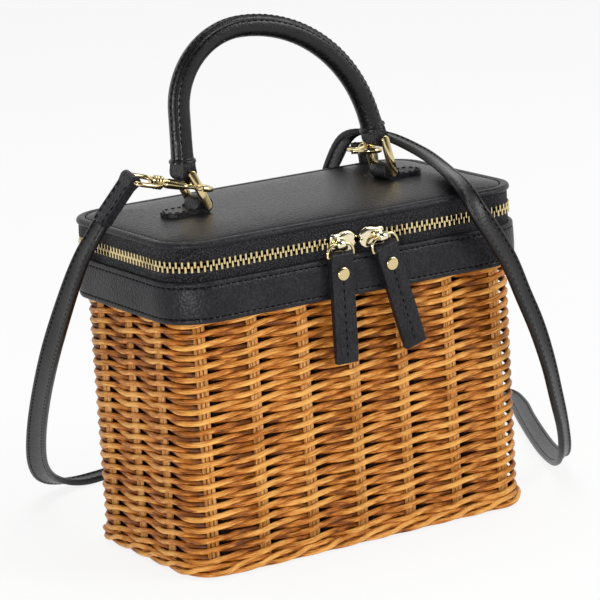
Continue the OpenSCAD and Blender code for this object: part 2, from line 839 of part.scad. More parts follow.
module shoulder_strap() {
    rings = 2 * len(ROUTE) - 1;
    sides = 8;
    points = [for (k = [0 : rings - 1]) each strap_ring(k)];
    faces = concat(
        [[for (k = [sides - 1 : -1 : 0]) k]],
        [for (r = [0 : rings - 2], k = [0 : sides - 1])
            let (m = (k + 1) % sides, a = r * sides + k, b = r * sides + m)
            each [[a, b, a + sides], [b, b + sides, a + sides]]],
        [[for (k = [0 : sides - 1]) (rings - 1) * sides + k]]);
    color(LEATHER) polyhedron(points, faces, convexity = 10);
}

base_panel();
foot_border();
woven_wall();
lining();
rim_facing();
rim_band();
lower_tape();
lower_teeth();
zip_end_stops();
hinge_strip();
lid_panel();
lid_lining();
upper_tape();
upper_teeth();
chape_left();
chape_right();
ring_left();
ring_right();
handle_grip();
handle_loop_left();
handle_loop_right();
slider_left();
slider_right();
pull_ring_left();
pull_ring_right();
pull_tab_left();
pull_tab_right();
rivet_left();
rivet_right();
hook_left();
hook_right();
gate_left();
gate_right();
swivel_left();
swivel_right();
strap_end_left();
strap_end_right();
shoulder_strap();
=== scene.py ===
"""Looks of the basket box bag: twined cane, black leather, a metal zip and pale gold fittings.

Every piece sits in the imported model's frame. Sizes are in millimetres until a mesh is made.
"""

from __future__ import annotations

import logging
import math
from dataclasses import dataclass, field
from enum import Enum

import bmesh
import bpy
from mathutils import Matrix, Vector

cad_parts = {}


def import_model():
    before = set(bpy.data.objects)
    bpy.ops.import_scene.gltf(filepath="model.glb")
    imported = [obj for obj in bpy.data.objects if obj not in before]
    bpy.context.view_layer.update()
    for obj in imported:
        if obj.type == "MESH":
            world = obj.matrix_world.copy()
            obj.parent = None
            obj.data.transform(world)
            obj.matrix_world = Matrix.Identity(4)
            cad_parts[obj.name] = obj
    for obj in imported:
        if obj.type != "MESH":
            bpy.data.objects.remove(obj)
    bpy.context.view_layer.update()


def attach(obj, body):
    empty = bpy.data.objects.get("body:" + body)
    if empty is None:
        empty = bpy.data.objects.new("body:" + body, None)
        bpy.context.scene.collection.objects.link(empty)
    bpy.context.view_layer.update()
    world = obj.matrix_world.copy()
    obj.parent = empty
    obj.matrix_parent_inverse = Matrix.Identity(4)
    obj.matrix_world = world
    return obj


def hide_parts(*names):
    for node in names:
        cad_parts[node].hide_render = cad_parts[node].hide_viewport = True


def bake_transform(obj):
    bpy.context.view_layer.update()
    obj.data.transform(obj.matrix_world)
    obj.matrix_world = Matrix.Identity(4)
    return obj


LOG = logging.getLogger("basket_box_bag")
MM = 0.001
UP = Vector((0.0, 0.0, 1.0))
SIDES = (("left", -1.0), ("right", 1.0))

Material = bpy.types.Material
Node = bpy.types.Node
Piece = bpy.types.Object
Socket = bpy.types.NodeSocket
Tree = bpy.types.NodeTree
Frame = list[tuple[Vector, Vector]]


def linear(code: str) -> tuple[float, float, float, float]:
    """Turn an sRGB hex colour into linear values.

    Args:
        code: Six hex digits after a hash sign.

    Returns:
        Linear red, green and blue with an alpha of 1.
    """
    parts = [int(code[i:i + 2], 16) / 255 for i in (1, 3, 5)]
    out = [c / 12.92 if c <= 0.04045 else ((c + 0.055) / 1.055) ** 2.4 for c in parts]
    return out[0], out[1], out[2], 1.0


def add(tree: Tree, kind: str, inputs: dict | None = None, **settings: object) -> Node:
    """Add a node, set its properties, then fill its inputs.

    Args:
        tree: Node tree that takes the node.
        kind: Node type.
        inputs: Socket name or number to a value, an output socket to link, or a node, whose first
            output is linked.
        settings: Node properties.

    Returns:
        The new node.
    """
    node = tree.nodes.new(kind)
    for name, value in settings.items():
        setattr(node, name, value)
    for key, value in (inputs or {}).items():
        source = value.outputs[0] if isinstance(value, Node) else value
        if isinstance(source, Socket):
            tree.links.new(source, node.inputs[key])
        else:
            node.inputs[key].default_value = source
    return node


def seen(tree: Tree) -> Node:
    """Tell rays that show what they meet, straight or in a reflection, from those that only light."""
    path = add(tree, "ShaderNodeLightPath").outputs
    shown = path["Is Camera Ray"]
    for kind in ("Is Glossy Ray", "Is Transmission Ray"):
        shown = add(tree, "ShaderNodeMath", {0: shown, 1: path[kind]}, operation="MAXIMUM")
    return shown


# Finishes


class Finish:
    """Look of one real material."""

    def shade(self, tree: Tree) -> Node:
        """Add the finish's nodes and return its surface shader."""
        raise NotImplementedError

    def material(self, name: str) -> Material:
        """Build the material.

        Args:
            name: Name of the real material.

        Returns:
            The material, with the finish as its surface.
        """
        material = bpy.data.materials.new(name)
        material.use_nodes = True
        tree = material.node_tree
        tree.nodes.clear()
        add(tree, "ShaderNodeOutputMaterial", {"Surface": self.shade(tree)})
        return material


@dataclass(frozen=True)
class CaneFinish(Finish):
    """Peeled rattan core, stained and varnished: long fibres, uneven stain, a soft shine."""

    dark: str = "#5C2E0B"
    middle: str = "#B2661A"
    light: str = "#E4AA58"
    roughness: float = 0.4
    fibre_mm: float = 6.0
    blotch_mm: float = 26.0
    ribs: float = 8.0
    shuffle: float = 61.0
    base_stain_and_shade: float = -1.16
    # Share of the painted shade by depth in the weave: inward darker, outward lighter.
    recess_shade_share: float = 0.3
    fibre_share: float = 2.3
    tone_share: float = 0.34
    blotch_share: float = 0.65

    def shade(self, tree: Tree) -> Node:
        """Stain a strand by its own length, girth and tone, and paint shade on it by its depth in the weave:
        darker where it lies inward.
        """
        along, girth, tone, depth = (
            add(tree, "ShaderNodeAttribute", attribute_name=name).outputs["Fac"]
            for name in ("along", "girth", "tone", "depth"))
        scales = ((along, 1 / (self.fibre_mm * MM)), (girth, self.ribs), (tone, self.shuffle))
        length, around, shift = (
            add(tree, "ShaderNodeMath", {0: value, 1: scale}, operation="MULTIPLY")
            for value, scale in scales)
        spot = add(tree, "ShaderNodeCombineXYZ", {"X": length, "Y": around, "Z": shift})
        fibre = add(tree, "ShaderNodeTexNoise", {
            "Vector": spot, "Scale": 1.0, "Detail": 4.0, "Roughness": 0.6}).outputs["Fac"]
        blotch = add(tree, "ShaderNodeTexNoise", {
            "Vector": add(tree, "ShaderNodeTexCoord").outputs["Object"],
            "Scale": 1 / (self.blotch_mm * MM), "Detail": 2.0}).outputs["Fac"]
        # Real stain from fibre, tone and blotch, plus painted shade from the depth: inward strands darker.
        stain_and_shade = self.base_stain_and_shade
        for part, share in ((depth, self.recess_shade_share), (fibre, self.fibre_share),
                            (tone, self.tone_share), (blotch, self.blotch_share)):
            stain_and_shade = add(tree, "ShaderNodeMath", {0: part, 1: share, 2: stain_and_shade}, operation="MULTIPLY_ADD")
        ramp = add(tree, "ShaderNodeValToRGB", {"Fac": stain_and_shade})
        first, last = ramp.color_ramp.elements
        first.position, first.color = 0.18, linear(self.dark)
        last.position, last.color = 0.95, linear(self.light)
        ramp.color_ramp.elements.new(0.52).color = linear(self.middle)
        bump = add(tree, "ShaderNodeBump", {"Height": fibre, "Strength": 0.9, "Distance": 0.35 * MM})
        return add(tree, "ShaderNodeBsdfPrincipled", {
            "Base Color": ramp.outputs["Color"], "Roughness": self.roughness, "Normal": bump,
            "IOR": 1.5, "Specular IOR Level": 0.26, "Coat Weight": 0.05, "Coat Roughness": 0.3})


@dataclass(frozen=True)
class LeatherFinish(Finish):
    """Pigmented cowhide pressed with a fine grain: near black, with a low soft sheen.

    Its pores are a little coarser than real ones, so that they show.
    """

    colour: str = "#0B0B0C"
    # Lighter colour of the grain between pores: partly wear, partly painted sheen.
    grain_sheen_and_wear: str = "#3A383E"
    roughness: float = 0.32
    gloss: float = 0.2
    relief_mm: float = 0.26
    grain_mm: float = 1.15
    cloud_mm: float = 14.0
    fine_share: float = 1.4

    def shade(self, tree: Tree) -> Node:
        """Press pores into the hide and lighten the grain between them in clouds, partly as wear and partly
        as a painted speckled sheen.
        """
        place = add(tree, "ShaderNodeTexCoord").outputs["Object"]
        pores = add(tree, "ShaderNodeTexVoronoi", {"Vector": place, "Scale": 1 / (self.grain_mm * MM)},
                    feature="SMOOTH_F1").outputs["Distance"]
        cloud, fine = (
            add(tree, "ShaderNodeTexNoise", {
                "Vector": place, "Scale": 1 / (size * MM), "Detail": 3.0}).outputs["Fac"]
            for size in (self.cloud_mm, self.grain_mm))
        height = add(tree, "ShaderNodeMath", {0: fine, 1: self.fine_share, 2: pores},
                     operation="MULTIPLY_ADD")
        share = add(tree, "ShaderNodeMath", {0: pores, 1: cloud}, operation="MULTIPLY")
        colour = add(tree, "ShaderNodeMix", {0: share, 6: linear(self.colour), 7: linear(self.grain_sheen_and_wear)},
                     data_type="RGBA")
        rough = add(tree, "ShaderNodeMapRange", {
            "Value": pores, "From Min": 0.0, "From Max": 0.8,
            "To Min": self.roughness - 0.06, "To Max": self.roughness + 0.1})
        bump = add(tree, "ShaderNodeBump", {
            "Height": height, "Strength": 0.9, "Distance": self.relief_mm * MM})
        return add(tree, "ShaderNodeBsdfPrincipled", {
            "Base Color": colour.outputs[2], "Roughness": rough, "Normal": bump,
            "IOR": 1.5, "Specular IOR Level": self.gloss})


@dataclass(frozen=True)
class MetalFinish(Finish):
    """Polished zinc with pale gold plate: clear reflections, faint polishing marks."""

    colour: str = "#D9C594"
    roughness: float = 0.09
    marks_mm: float = 1.5

    def shade(self, tree: Tree) -> Node:
        """Polish the metal, a little unevenly."""
        place = add(tree, "ShaderNodeTexCoord").outputs["Object"]
        marks = add(tree, "ShaderNodeTexNoise", {
            "Vector": place, "Scale": 1 / (self.marks_mm * MM), "Detail": 3.0}).outputs["Fac"]
        rough = add(tree, "ShaderNodeMapRange", {
            "Value": marks, "To Min": self.roughness - 0.05, "To Max": self.roughness + 0.09})
        bump = add(tree, "ShaderNodeBump", {"Height": marks, "Strength": 0.08, "Distance": 0.1 * MM})
        return add(tree, "ShaderNodeBsdfPrincipled", {
            "Base Color": linear(self.colour), "Metallic": 1.0, "Roughness": rough, "Normal": bump})


@dataclass(frozen=True)
class ClothFinish(Finish):
    """Woven polyester or cotton: a fine twill that scatters light, with no gloss.

    Its threads are coarser than real ones, so that they show.
    """

    colour: str = "#040405"
    thread: str = "#3E3E43"
    roughness: float = 0.88
    thread_mm: float = 0.75

    def shade(self, tree: Tree) -> Node:
        """Draw the slanting lines of a twill, broken up by the weft."""
        place = add(tree, "ShaderNodeTexCoord").outputs["Object"]
        tilt = add(tree, "ShaderNodeMapping", {"Vector": place, "Rotation": (0.6, 0.7, 0.78)})
        twill = add(tree, "ShaderNodeTexWave", {
            "Vector": tilt, "Scale": 0.314 / (self.thread_mm * MM), "Distortion": 1.2, "Detail": 2.0,
            "Detail Scale": 2.0})
        weft = add(tree, "ShaderNodeTexNoise", {
            "Vector": place, "Scale": 1 / (self.thread_mm * MM), "Detail": 2.0})
        speck = add(tree, "ShaderNodeMapRange", {
            "Value": weft.outputs["Fac"], "From Min": 0.44, "From Max": 0.66})
        line = add(tree, "ShaderNodeMath", {0: twill.outputs["Fac"], 1: 0.6, 2: 0.4},
                   operation="MULTIPLY_ADD")
        height = add(tree, "ShaderNodeMath", {0: speck, 1: line}, operation="MULTIPLY")
        colour = add(tree, "ShaderNodeMix", {0: height, 6: linear(self.colour), 7: linear(self.thread)},
                     data_type="RGBA")
        bump = add(tree, "ShaderNodeBump", {"Height": height, "Strength": 0.8, "Distance": 0.3 * MM})
        return add(tree, "ShaderNodeBsdfPrincipled", {
            "Base Color": colour.outputs[2], "Roughness": self.roughness, "Normal": bump,
            "Specular IOR Level": 0.2, "Sheen Weight": 0.08})


@dataclass(frozen=True)
class ThreadFinish(Finish):
    """Waxed polyester sewing thread: blacker than the leather, twisted, with small painted glints along it.
    """

    colour: str = "#020203"
    # Colour of the painted glints.
    light: str = "#0C0C0E"
    twist_mm: float = 0.5

    def shade(self, tree: Tree) -> Node:
        """Paint small glints into the thread's black along its twist."""
        place = add(tree, "ShaderNodeTexCoord").outputs["Object"]
        twist = add(tree, "ShaderNodeTexNoise", {
            "Vector": place, "Scale": 1 / (self.twist_mm * MM), "Detail": 1.0}).outputs["Fac"]
        colour = add(tree, "ShaderNodeMix", {0: twist, 6: linear(self.colour), 7: linear(self.light)},
                     data_type="RGBA")
        return add(tree, "ShaderNodeBsdfPrincipled", {
            "Base Color": colour.outputs[2], "Roughness": 0.6, "Specular IOR Level": 0.06})


@dataclass(frozen=True)
class CardFinish(Finish):
    """White card that looks lit from within but keeps the bag's shadow."""

    colour: str = "#F3F3F3"
    glow_share: float = 0.86

    def shade(self, tree: Tree) -> Node:
        """Mix a glow into the card for the rays that show it."""
        share = add(tree, "ShaderNodeMath", {0: seen(tree), 1: self.glow_share}, operation="MULTIPLY")
        card = add(tree, "ShaderNodeBsdfDiffuse", {"Color": linear(self.colour)})
        glow = add(tree, "ShaderNodeEmission", {"Color": (1, 1, 1, 1), "Strength": 1.0})
        return add(tree, "ShaderNodeMixShader", {0: share, 1: card, 2: glow})


@dataclass
class Palette:
    """The bag's materials, made once."""

    cane: Material = field(default_factory=lambda: CaneFinish().material("varnished_cane"))
    stake: Material = field(
        default_factory=lambda: CaneFinish("#7A4818", "#BC7F3C", "#DDAE70").material("pale_cane"))
    leather: Material = field(default_factory=lambda: LeatherFinish().material("black_cowhide"))
    rolled: Material = field(default_factory=lambda: LeatherFinish(
        "#060607", "#222125", gloss=0.34, relief_mm=0.11).material("rolled_cowhide"))
    gold: Material = field(default_factory=lambda: MetalFinish().material("pale_gold_plate"))
    # The sliders have the same gold plate as the other fittings, painted paler to stand for the brighter
    # light that falls on them.
    slider: Material = field(default_factory=lambda: MetalFinish("#EADFBF").material("gold_plate_with_painted_light"))
    tape: Material = field(default_factory=lambda: ClothFinish().material("zip_tape_twill"))
    lining: Material = field(default_factory=lambda: ClothFinish(
        "#21150D", "#3A281B", roughness=0.9, thread_mm=1.1).material("lining_cotton"))
    thread: Material = field(default_factory=lambda: ThreadFinish().material("waxed_thread"))


# Meshes


def link(name: str, data: bpy.types.ID) -> Piece:
    """Put a mesh, a lamp or a camera into the scene as an object."""
    piece = bpy.data.objects.new(name, data)
    bpy.context.scene.collection.objects.link(piece)
    return piece


def pour(work: bmesh.types.BMesh, mesh: bpy.types.Mesh) -> bpy.types.Mesh:
    """Write mesh work into a mesh and return the mesh."""
    work.to_mesh(mesh)
    work.free()
    return mesh


def present(name: str, mesh: bpy.types.Mesh, material: Material, sharp: float) -> Piece:
    """Dress a mesh and put it into the scene.

    Args:
        name: Name of the piece.
        mesh: Finished mesh.
        material: Material of the piece.
        sharp: Angle in degrees above which an edge shades sharp.

    Returns:
        The new object at the origin.
    """
    mesh.materials.append(material)
    mesh.shade_smooth()
    mesh.set_sharp_from_angle(angle=math.radians(sharp))
    return link(name, mesh)


def solid(name: str, points: list, faces: list, material: Material, sharp: float = 40.0,
          turn: bool = True) -> Piece:
    """Make a mesh object from points in millimetres.

    Args:
        name: Name of the piece.
        points: Points in millimetres.
        faces: Lists of point numbers.
        material: Material of the piece.
        sharp: Angle in degrees above which an edge shades sharp.
        turn: Whether to turn all faces outwards.

    Returns:
        The new object at the origin.
    """
    mesh = bpy.data.meshes.new(name)
    mesh.from_pydata([Vector(p) * MM for p in points], [], faces)
    if turn:
        work = bmesh.new()
        work.from_mesh(mesh)
        bmesh.ops.recalc_face_normals(work, faces=work.faces)
        pour(work, mesh)
    return present(name, mesh, material, sharp)


def sweep(name: str, rings: list[list[Vector]], material: Material, loop: bool,
          sharp: float = 40.0) -> Piece:
    """Join rings of equal length into a tube, closed into a loop or capped at both ends.

    Args:
        name: Name of the piece.
        rings: Closed outlines along the path, in millimetres.
        material: Material of the piece.
        loop: Whether the last ring joins the first.
        sharp: Angle in degrees above which an edge shades sharp.

    Returns:
        The new object.
    """
    count, sides = len(rings), len(rings[0])
    points = [p for ring in rings for p in ring]
    faces = []
    for i in range(count if loop else count - 1):
        a, b = i * sides, (i + 1) % count * sides
        faces += [[a + k, a + (k + 1) % sides, b + (k + 1) % sides, b + k] for k in range(sides)]
    if not loop:
        faces += [list(range(sides)), list(range((count - 1) * sides, count * sides))]
    return solid(name, points, faces, material, sharp)


def tube(name: str, path: list[Vector], radii: list[tuple[float, float]], material: Material,
         loop: bool = False, side: Vector | None = None, sides: int = 12) -> Piece:
    """Sweep an oval along a line of points.

    Args:
        name: Name of the piece.
        path: Points in millimetres.
        radii: Half width and half height of the oval at every point.
        material: Material of the piece.
        loop: Whether the line is closed.
        side: Direction of the oval's width, square to the line at its start.
        sides: Number of points round the oval.

    Returns:
        The new object.
    """
    count = len(path)
    ways = [((path[(i + 1) % count] if loop or i + 1 < count else path[i])
             - (path[i - 1] if loop or i else path[i])).normalized() for i in range(count)]
    across = side or ways[0].orthogonal()
    rings = []
    for p, way, (wide, high) in zip(path, ways, radii):
        across = (across - way * across.dot(way)).normalized()
        above = way.cross(across)
        rings.append([p + across * (wide * math.cos(a)) + above * (high * math.sin(a))
                      for a in (2 * math.pi * k / sides for k in range(sides))])
    return sweep(name, rings, material, loop, 60.0)


def length_of(points: list[Vector]) -> float:
    """Add up the straight steps along a line of points."""
    return sum((b - a).length for a, b in zip(points, points[1:]))


def curve_at(a: Vector, b: Vector, c: Vector, d: Vector, u: float) -> Vector:
    """Find a point on a smooth curve through four points, at a share u of the way from b to c."""
    return 0.5 * (2 * b + (c - a) * u + (2 * a - 5 * b + 4 * c - d) * u * u
                  + (3 * b - a - 3 * c + d) * u ** 3)


def smooth_line(points: list[tuple[float, ...]], per: int = 5, loop: bool = False) -> list[Vector]:
    """Draw a smooth curve through points.

    Args:
        points: Points to pass through.
        per: Steps between two points.
        loop: Whether the curve is closed.

    Returns:
        Points along the curve.
    """
    spots = [Vector(p) for p in points]
    count = len(spots)
    out = []
    for i in range(count if loop else count - 1):
        near = [spots[(i + k) % count if loop else min(count - 1, max(0, i + k))] for k in (-1, 0, 1, 2)]
        out += [curve_at(*near, k / per) for k in range(per)]
    return out if loop else out + [spots[-1]]


def join(name: str, pieces: list[Piece]) -> Piece:
    """Join mesh objects of one body into one piece.

    Args:
        name: Name of the joined piece.
        pieces: Objects at the origin.

    Returns:
        The first object, which now holds all meshes.
    """
    with bpy.context.temp_override(active_object=pieces[0], selected_editable_objects=pieces,
                                   selected_objects=pieces, object=pieces[0]):
        bpy.ops.object.join()
    pieces[0].name = name
    pieces[0].data.name = name
    return pieces[0]


def soften(node: str, material: Material, width: float = 0.3) -> Piece:
    """Copy a CAD node and round its hard edges.

    Args:
        node: Name of the CAD node.
        material: Material of the piece.
        width: Width of the rounding in millimetres.

    Returns:
        The rounded copy.
    """
    mesh = bpy.data.objects[node].data.copy()
    work = bmesh.new()
    work.from_mesh(mesh)
    bmesh.ops.remove_doubles(work, verts=work.verts, dist=0.004 * MM)
    bmesh.ops.dissolve_limit(work, angle_limit=math.radians(2.0), verts=work.verts, edges=work.edges)
    pour(work, mesh)
    mesh.materials.clear()
    mesh.materials.append(material)
    piece = link(f"{node}_piece", mesh)
    bevel = piece.modifiers.new("rounding", "BEVEL")
    bevel.width = width * MM
    bevel.segments = 2
    bevel.limit_method = "ANGLE"
    bevel.angle_limit = math.radians(35.0)
    settle(piece)
    piece.data.shade_smooth()
    piece.data.set_sharp_from_angle(angle=math.radians(50.0))
    return piece


def settle(piece: Piece) -> None:
    """Turn the evaluated object into its own plain mesh and drop its modifiers."""
    graph = bpy.context.evaluated_depsgraph_get()
    mesh = bpy.data.meshes.new_from_object(
        piece.evaluated_get(graph), preserve_all_data_layers=True, depsgraph=graph)
    piece.modifiers.clear()
    piece.data = mesh


class Stretch(Enum):
    """Part of the bag's outline that a piece follows."""

    ALL = "all round"
    ZIP = "front and sides, to the middles of the back corners"
    HINGE = "back, between the middles of the back corners"


def heading(degrees: float) -> Vector:
    """Point level in a direction, counted from X towards Y."""
    angle = math.radians(degrees)
    return Vector((math.cos(angle), math.sin(angle), 0))


@dataclass(frozen=True)
class Plan:
    """Rounded rectangle and heights that the basket, the rim, the zip and the lid share."""

    half_x: float = 78.0
    half_y: float = 35.0
    corner: float = 22.0
    least_r: float = 0.4
    start_x: float = -2.8
    rim_top: float = 144.0
    zip_z: float = 151.02
    lid_low: float = 159.6
    ring_x: float = 53.0
    pivot_z: float = 168.7
    long_steps: int = 24
    side_steps: int = 12
    corner_steps: int = 12

    def ring(self, inset: float, stretch: Stretch = Stretch.ALL) -> Frame:
        """Sample the outline from near the middle of the front to the right.

        Args:
            inset: Distance inside the rim band's outer face.
            stretch: Part of the outline.

        Returns:
            Points with their outward directions, as many at every inset.
        """
        r = max(self.corner - inset, self.least_r)
        shrink = inset - self.corner + r
        hx, hy = self.half_x - shrink, self.half_y - shrink
        half = self.long_steps // 2
        out: Frame = []

        def line(a: tuple, b: tuple, steps: int, way: tuple) -> None:
            """Add the points of a straight side."""
            for k in range(steps):
                out.append((Vector((*a, 0)).lerp(Vector((*b, 0)), k / steps), Vector((*way, 0))))

        def arc(x: float, y: float, start: float) -> None:
            """Add the points of a corner."""
            for k in range(self.corner_steps):
                way = heading(start + 90 * k / self.corner_steps)
                out.append((Vector((x, y, 0)) + way * r, way))

        line((self.start_x, -hy - r), (hx, -hy - r), half, (0, -1))
        arc(hx, -hy, -90)
        line((hx + r, -hy), (hx + r, hy), self.side_steps, (1, 0))
        arc(hx, hy, 0)
        line((hx, hy + r), (-hx, hy + r), self.long_steps, (0, 1))
        arc(-hx, hy, 90)
        line((-hx - r, hy), (-hx - r, -hy), self.side_steps, (-1, 0))
        arc(-hx, -hy, 180)
        line((-hx, -hy - r), (self.start_x, -hy - r), half, (0, -1))
        right = half + self.corner_steps + self.side_steps + self.corner_steps // 2
        left = len(out) - right
        if stretch is Stretch.ZIP:
            return out[left:] + out[:right + 1]
        return out[right:left + 1] if stretch is Stretch.HINGE else out

    def half_length(self, inset: float) -> float:
        """Length from the middle of the front to the middle of a back corner."""
        r = self.corner - inset
        return self.half_x + 2 * self.half_y + math.pi * 0.75 * r

    def at(self, t: float, inset: float) -> tuple[Vector, Vector]:
        """Find a point by its distance from the middle of the front.

        Args:
            t: Distance along the outline, positive to the right, as far as the back corners.
            inset: Distance inside the rim band's outer face.

        Returns:
            The point and its outward direction.
        """
        r, u, side = self.corner - inset, abs(t), -1.0 if t < 0 else 1.0
        arc = math.pi / 2 * r
        if u <= self.half_x:
            p, way = Vector((u, -self.half_y - r, 0)), heading(-90.0)
        elif u <= self.half_x + arc:
            way = heading(-90 + math.degrees((u - self.half_x) / r))
            p = Vector((self.half_x, -self.half_y, 0)) + r * way
        elif u <= self.half_x + arc + 2 * self.half_y:
            p, way = Vector((self.half_x + r, -self.half_y + u - self.half_x - arc, 0)), heading(0.0)
        else:
            way = heading(math.degrees((u - self.half_x - arc - 2 * self.half_y) / r))
            p = Vector((self.half_x, self.half_y, 0)) + r * way
        return Vector((side * p.x, p.y, 0)), Vector((side * way.x, way.y, 0))

    def sweep(self, name: str, profile: list[tuple[float, float]], material: Material,
              stretch: Stretch = Stretch.ALL, sharp: float = 40.0) -> Piece:
        """Sweep a closed profile along the outline.

        Args:
            name: Name of the piece.
            profile: Insets and heights.
            material: Material of the piece.
            stretch: Part of the outline.
            sharp: Angle in degrees above which an edge shades sharp.

        Returns:
            The swept piece.
        """
        lines = [[p + UP * z for p, _ in self.ring(inset, stretch)] for inset, z in profile]
        rings = [[line[i] for line in lines] for i in range(len(lines[0]))]
        return sweep(name, rings, material, stretch is Stretch.ALL, sharp)


# Patterns made by geometry nodes


def guide(name: str, frame: Frame, loop: bool) -> Piece:
    """Make a line of edges that a pattern follows.

    Args:
        name: Name of the line.
        frame: Points in millimetres with the direction that the pattern faces.
        loop: Whether the line is closed.

    Returns:
        The line, with its directions in the attribute "out".
    """
    count = len(frame)
    edges = [(i, (i + 1) % count) for i in range(count if loop else count - 1)]
    mesh = bpy.data.meshes.new(name)
    mesh.from_pydata([p * MM for p, _ in frame], edges, [])
    out = mesh.attributes.new("out", "FLOAT_VECTOR", "POINT")
    out.data.foreach_set("vector", [c for _, way in frame for c in way])
    return link(name, mesh)


def grow(piece: Piece, tree: Tree, values: dict[str, object]) -> Piece:
    """Run a geometry node tree on an object and keep the result as a plain mesh.

    Args:
        piece: Object that the tree starts from.
        tree: Geometry node tree.
        values: Named inputs of the tree.

    Returns:
        The same object with its new mesh.
    """
    modifier = piece.modifiers.new(tree.name, "NODES")
    modifier.node_group = tree
    for item in tree.interface.items_tree:
        if item.item_type == "SOCKET" and item.in_out == "INPUT" and item.name in values:
            modifier[item.identifier] = values[item.name]
    piece.update_tag()
    settle(piece)
    return piece


def new_tree(name: str, sockets: dict[str, str]) -> tuple[Tree, Node]:
    """Start a geometry node tree.

    Args:
        name: Name of the tree.
        sockets: Input names and their kinds of socket, after the geometry.

    Returns:
        The tree and its input node.
    """
    tree = bpy.data.node_groups.new(name, "GeometryNodeTree")
    tree.interface.new_socket("Geometry", in_out="INPUT", socket_type="NodeSocketGeometry")
    for label, kind in sockets.items():
        tree.interface.new_socket(label, in_out="INPUT", socket_type=f"NodeSocket{kind}")
    tree.interface.new_socket("Geometry", in_out="OUTPUT", socket_type="NodeSocketGeometry")
    return tree, add(tree, "NodeGroupInput")


def row_tree() -> Tree:
    """Set copies of a small piece along a line: stitches, teeth or stakes.

    Returns:
        The tree, with the inputs Count, Piece and Finish.
    """
    tree, source = new_tree("row_of_pieces", {"Count": "Int", "Piece": "Object", "Finish": "Material"})
    given = source.outputs
    curve = add(tree, "GeometryNodeMeshToCurve", {"Mesh": given["Geometry"]})
    points = add(tree, "GeometryNodeCurveToPoints", {"Curve": curve, "Count": given["Count"]}, mode="COUNT")
    out = add(tree, "GeometryNodeInputNamedAttribute", {"Name": "out"}, data_type="FLOAT_VECTOR")
    turn = add(tree, "FunctionNodeAxesToRotation", {
        0: points.outputs["Tangent"], 1: out.outputs["Attribute"]}, primary_axis="X", secondary_axis="Z")
    item = add(tree, "GeometryNodeObjectInfo", {"Object": given["Piece"]})
    copies = add(tree, "GeometryNodeInstanceOnPoints", {
        "Points": points.outputs["Points"], "Instance": item.outputs["Geometry"], "Rotation": turn})
    real = add(tree, "GeometryNodeRealizeInstances", {"Geometry": copies})
    dressed = add(tree, "GeometryNodeSetMaterial", {"Geometry": real, "Material": given["Finish"]})
    add(tree, "NodeGroupOutput", {"Geometry": dressed})
    return tree


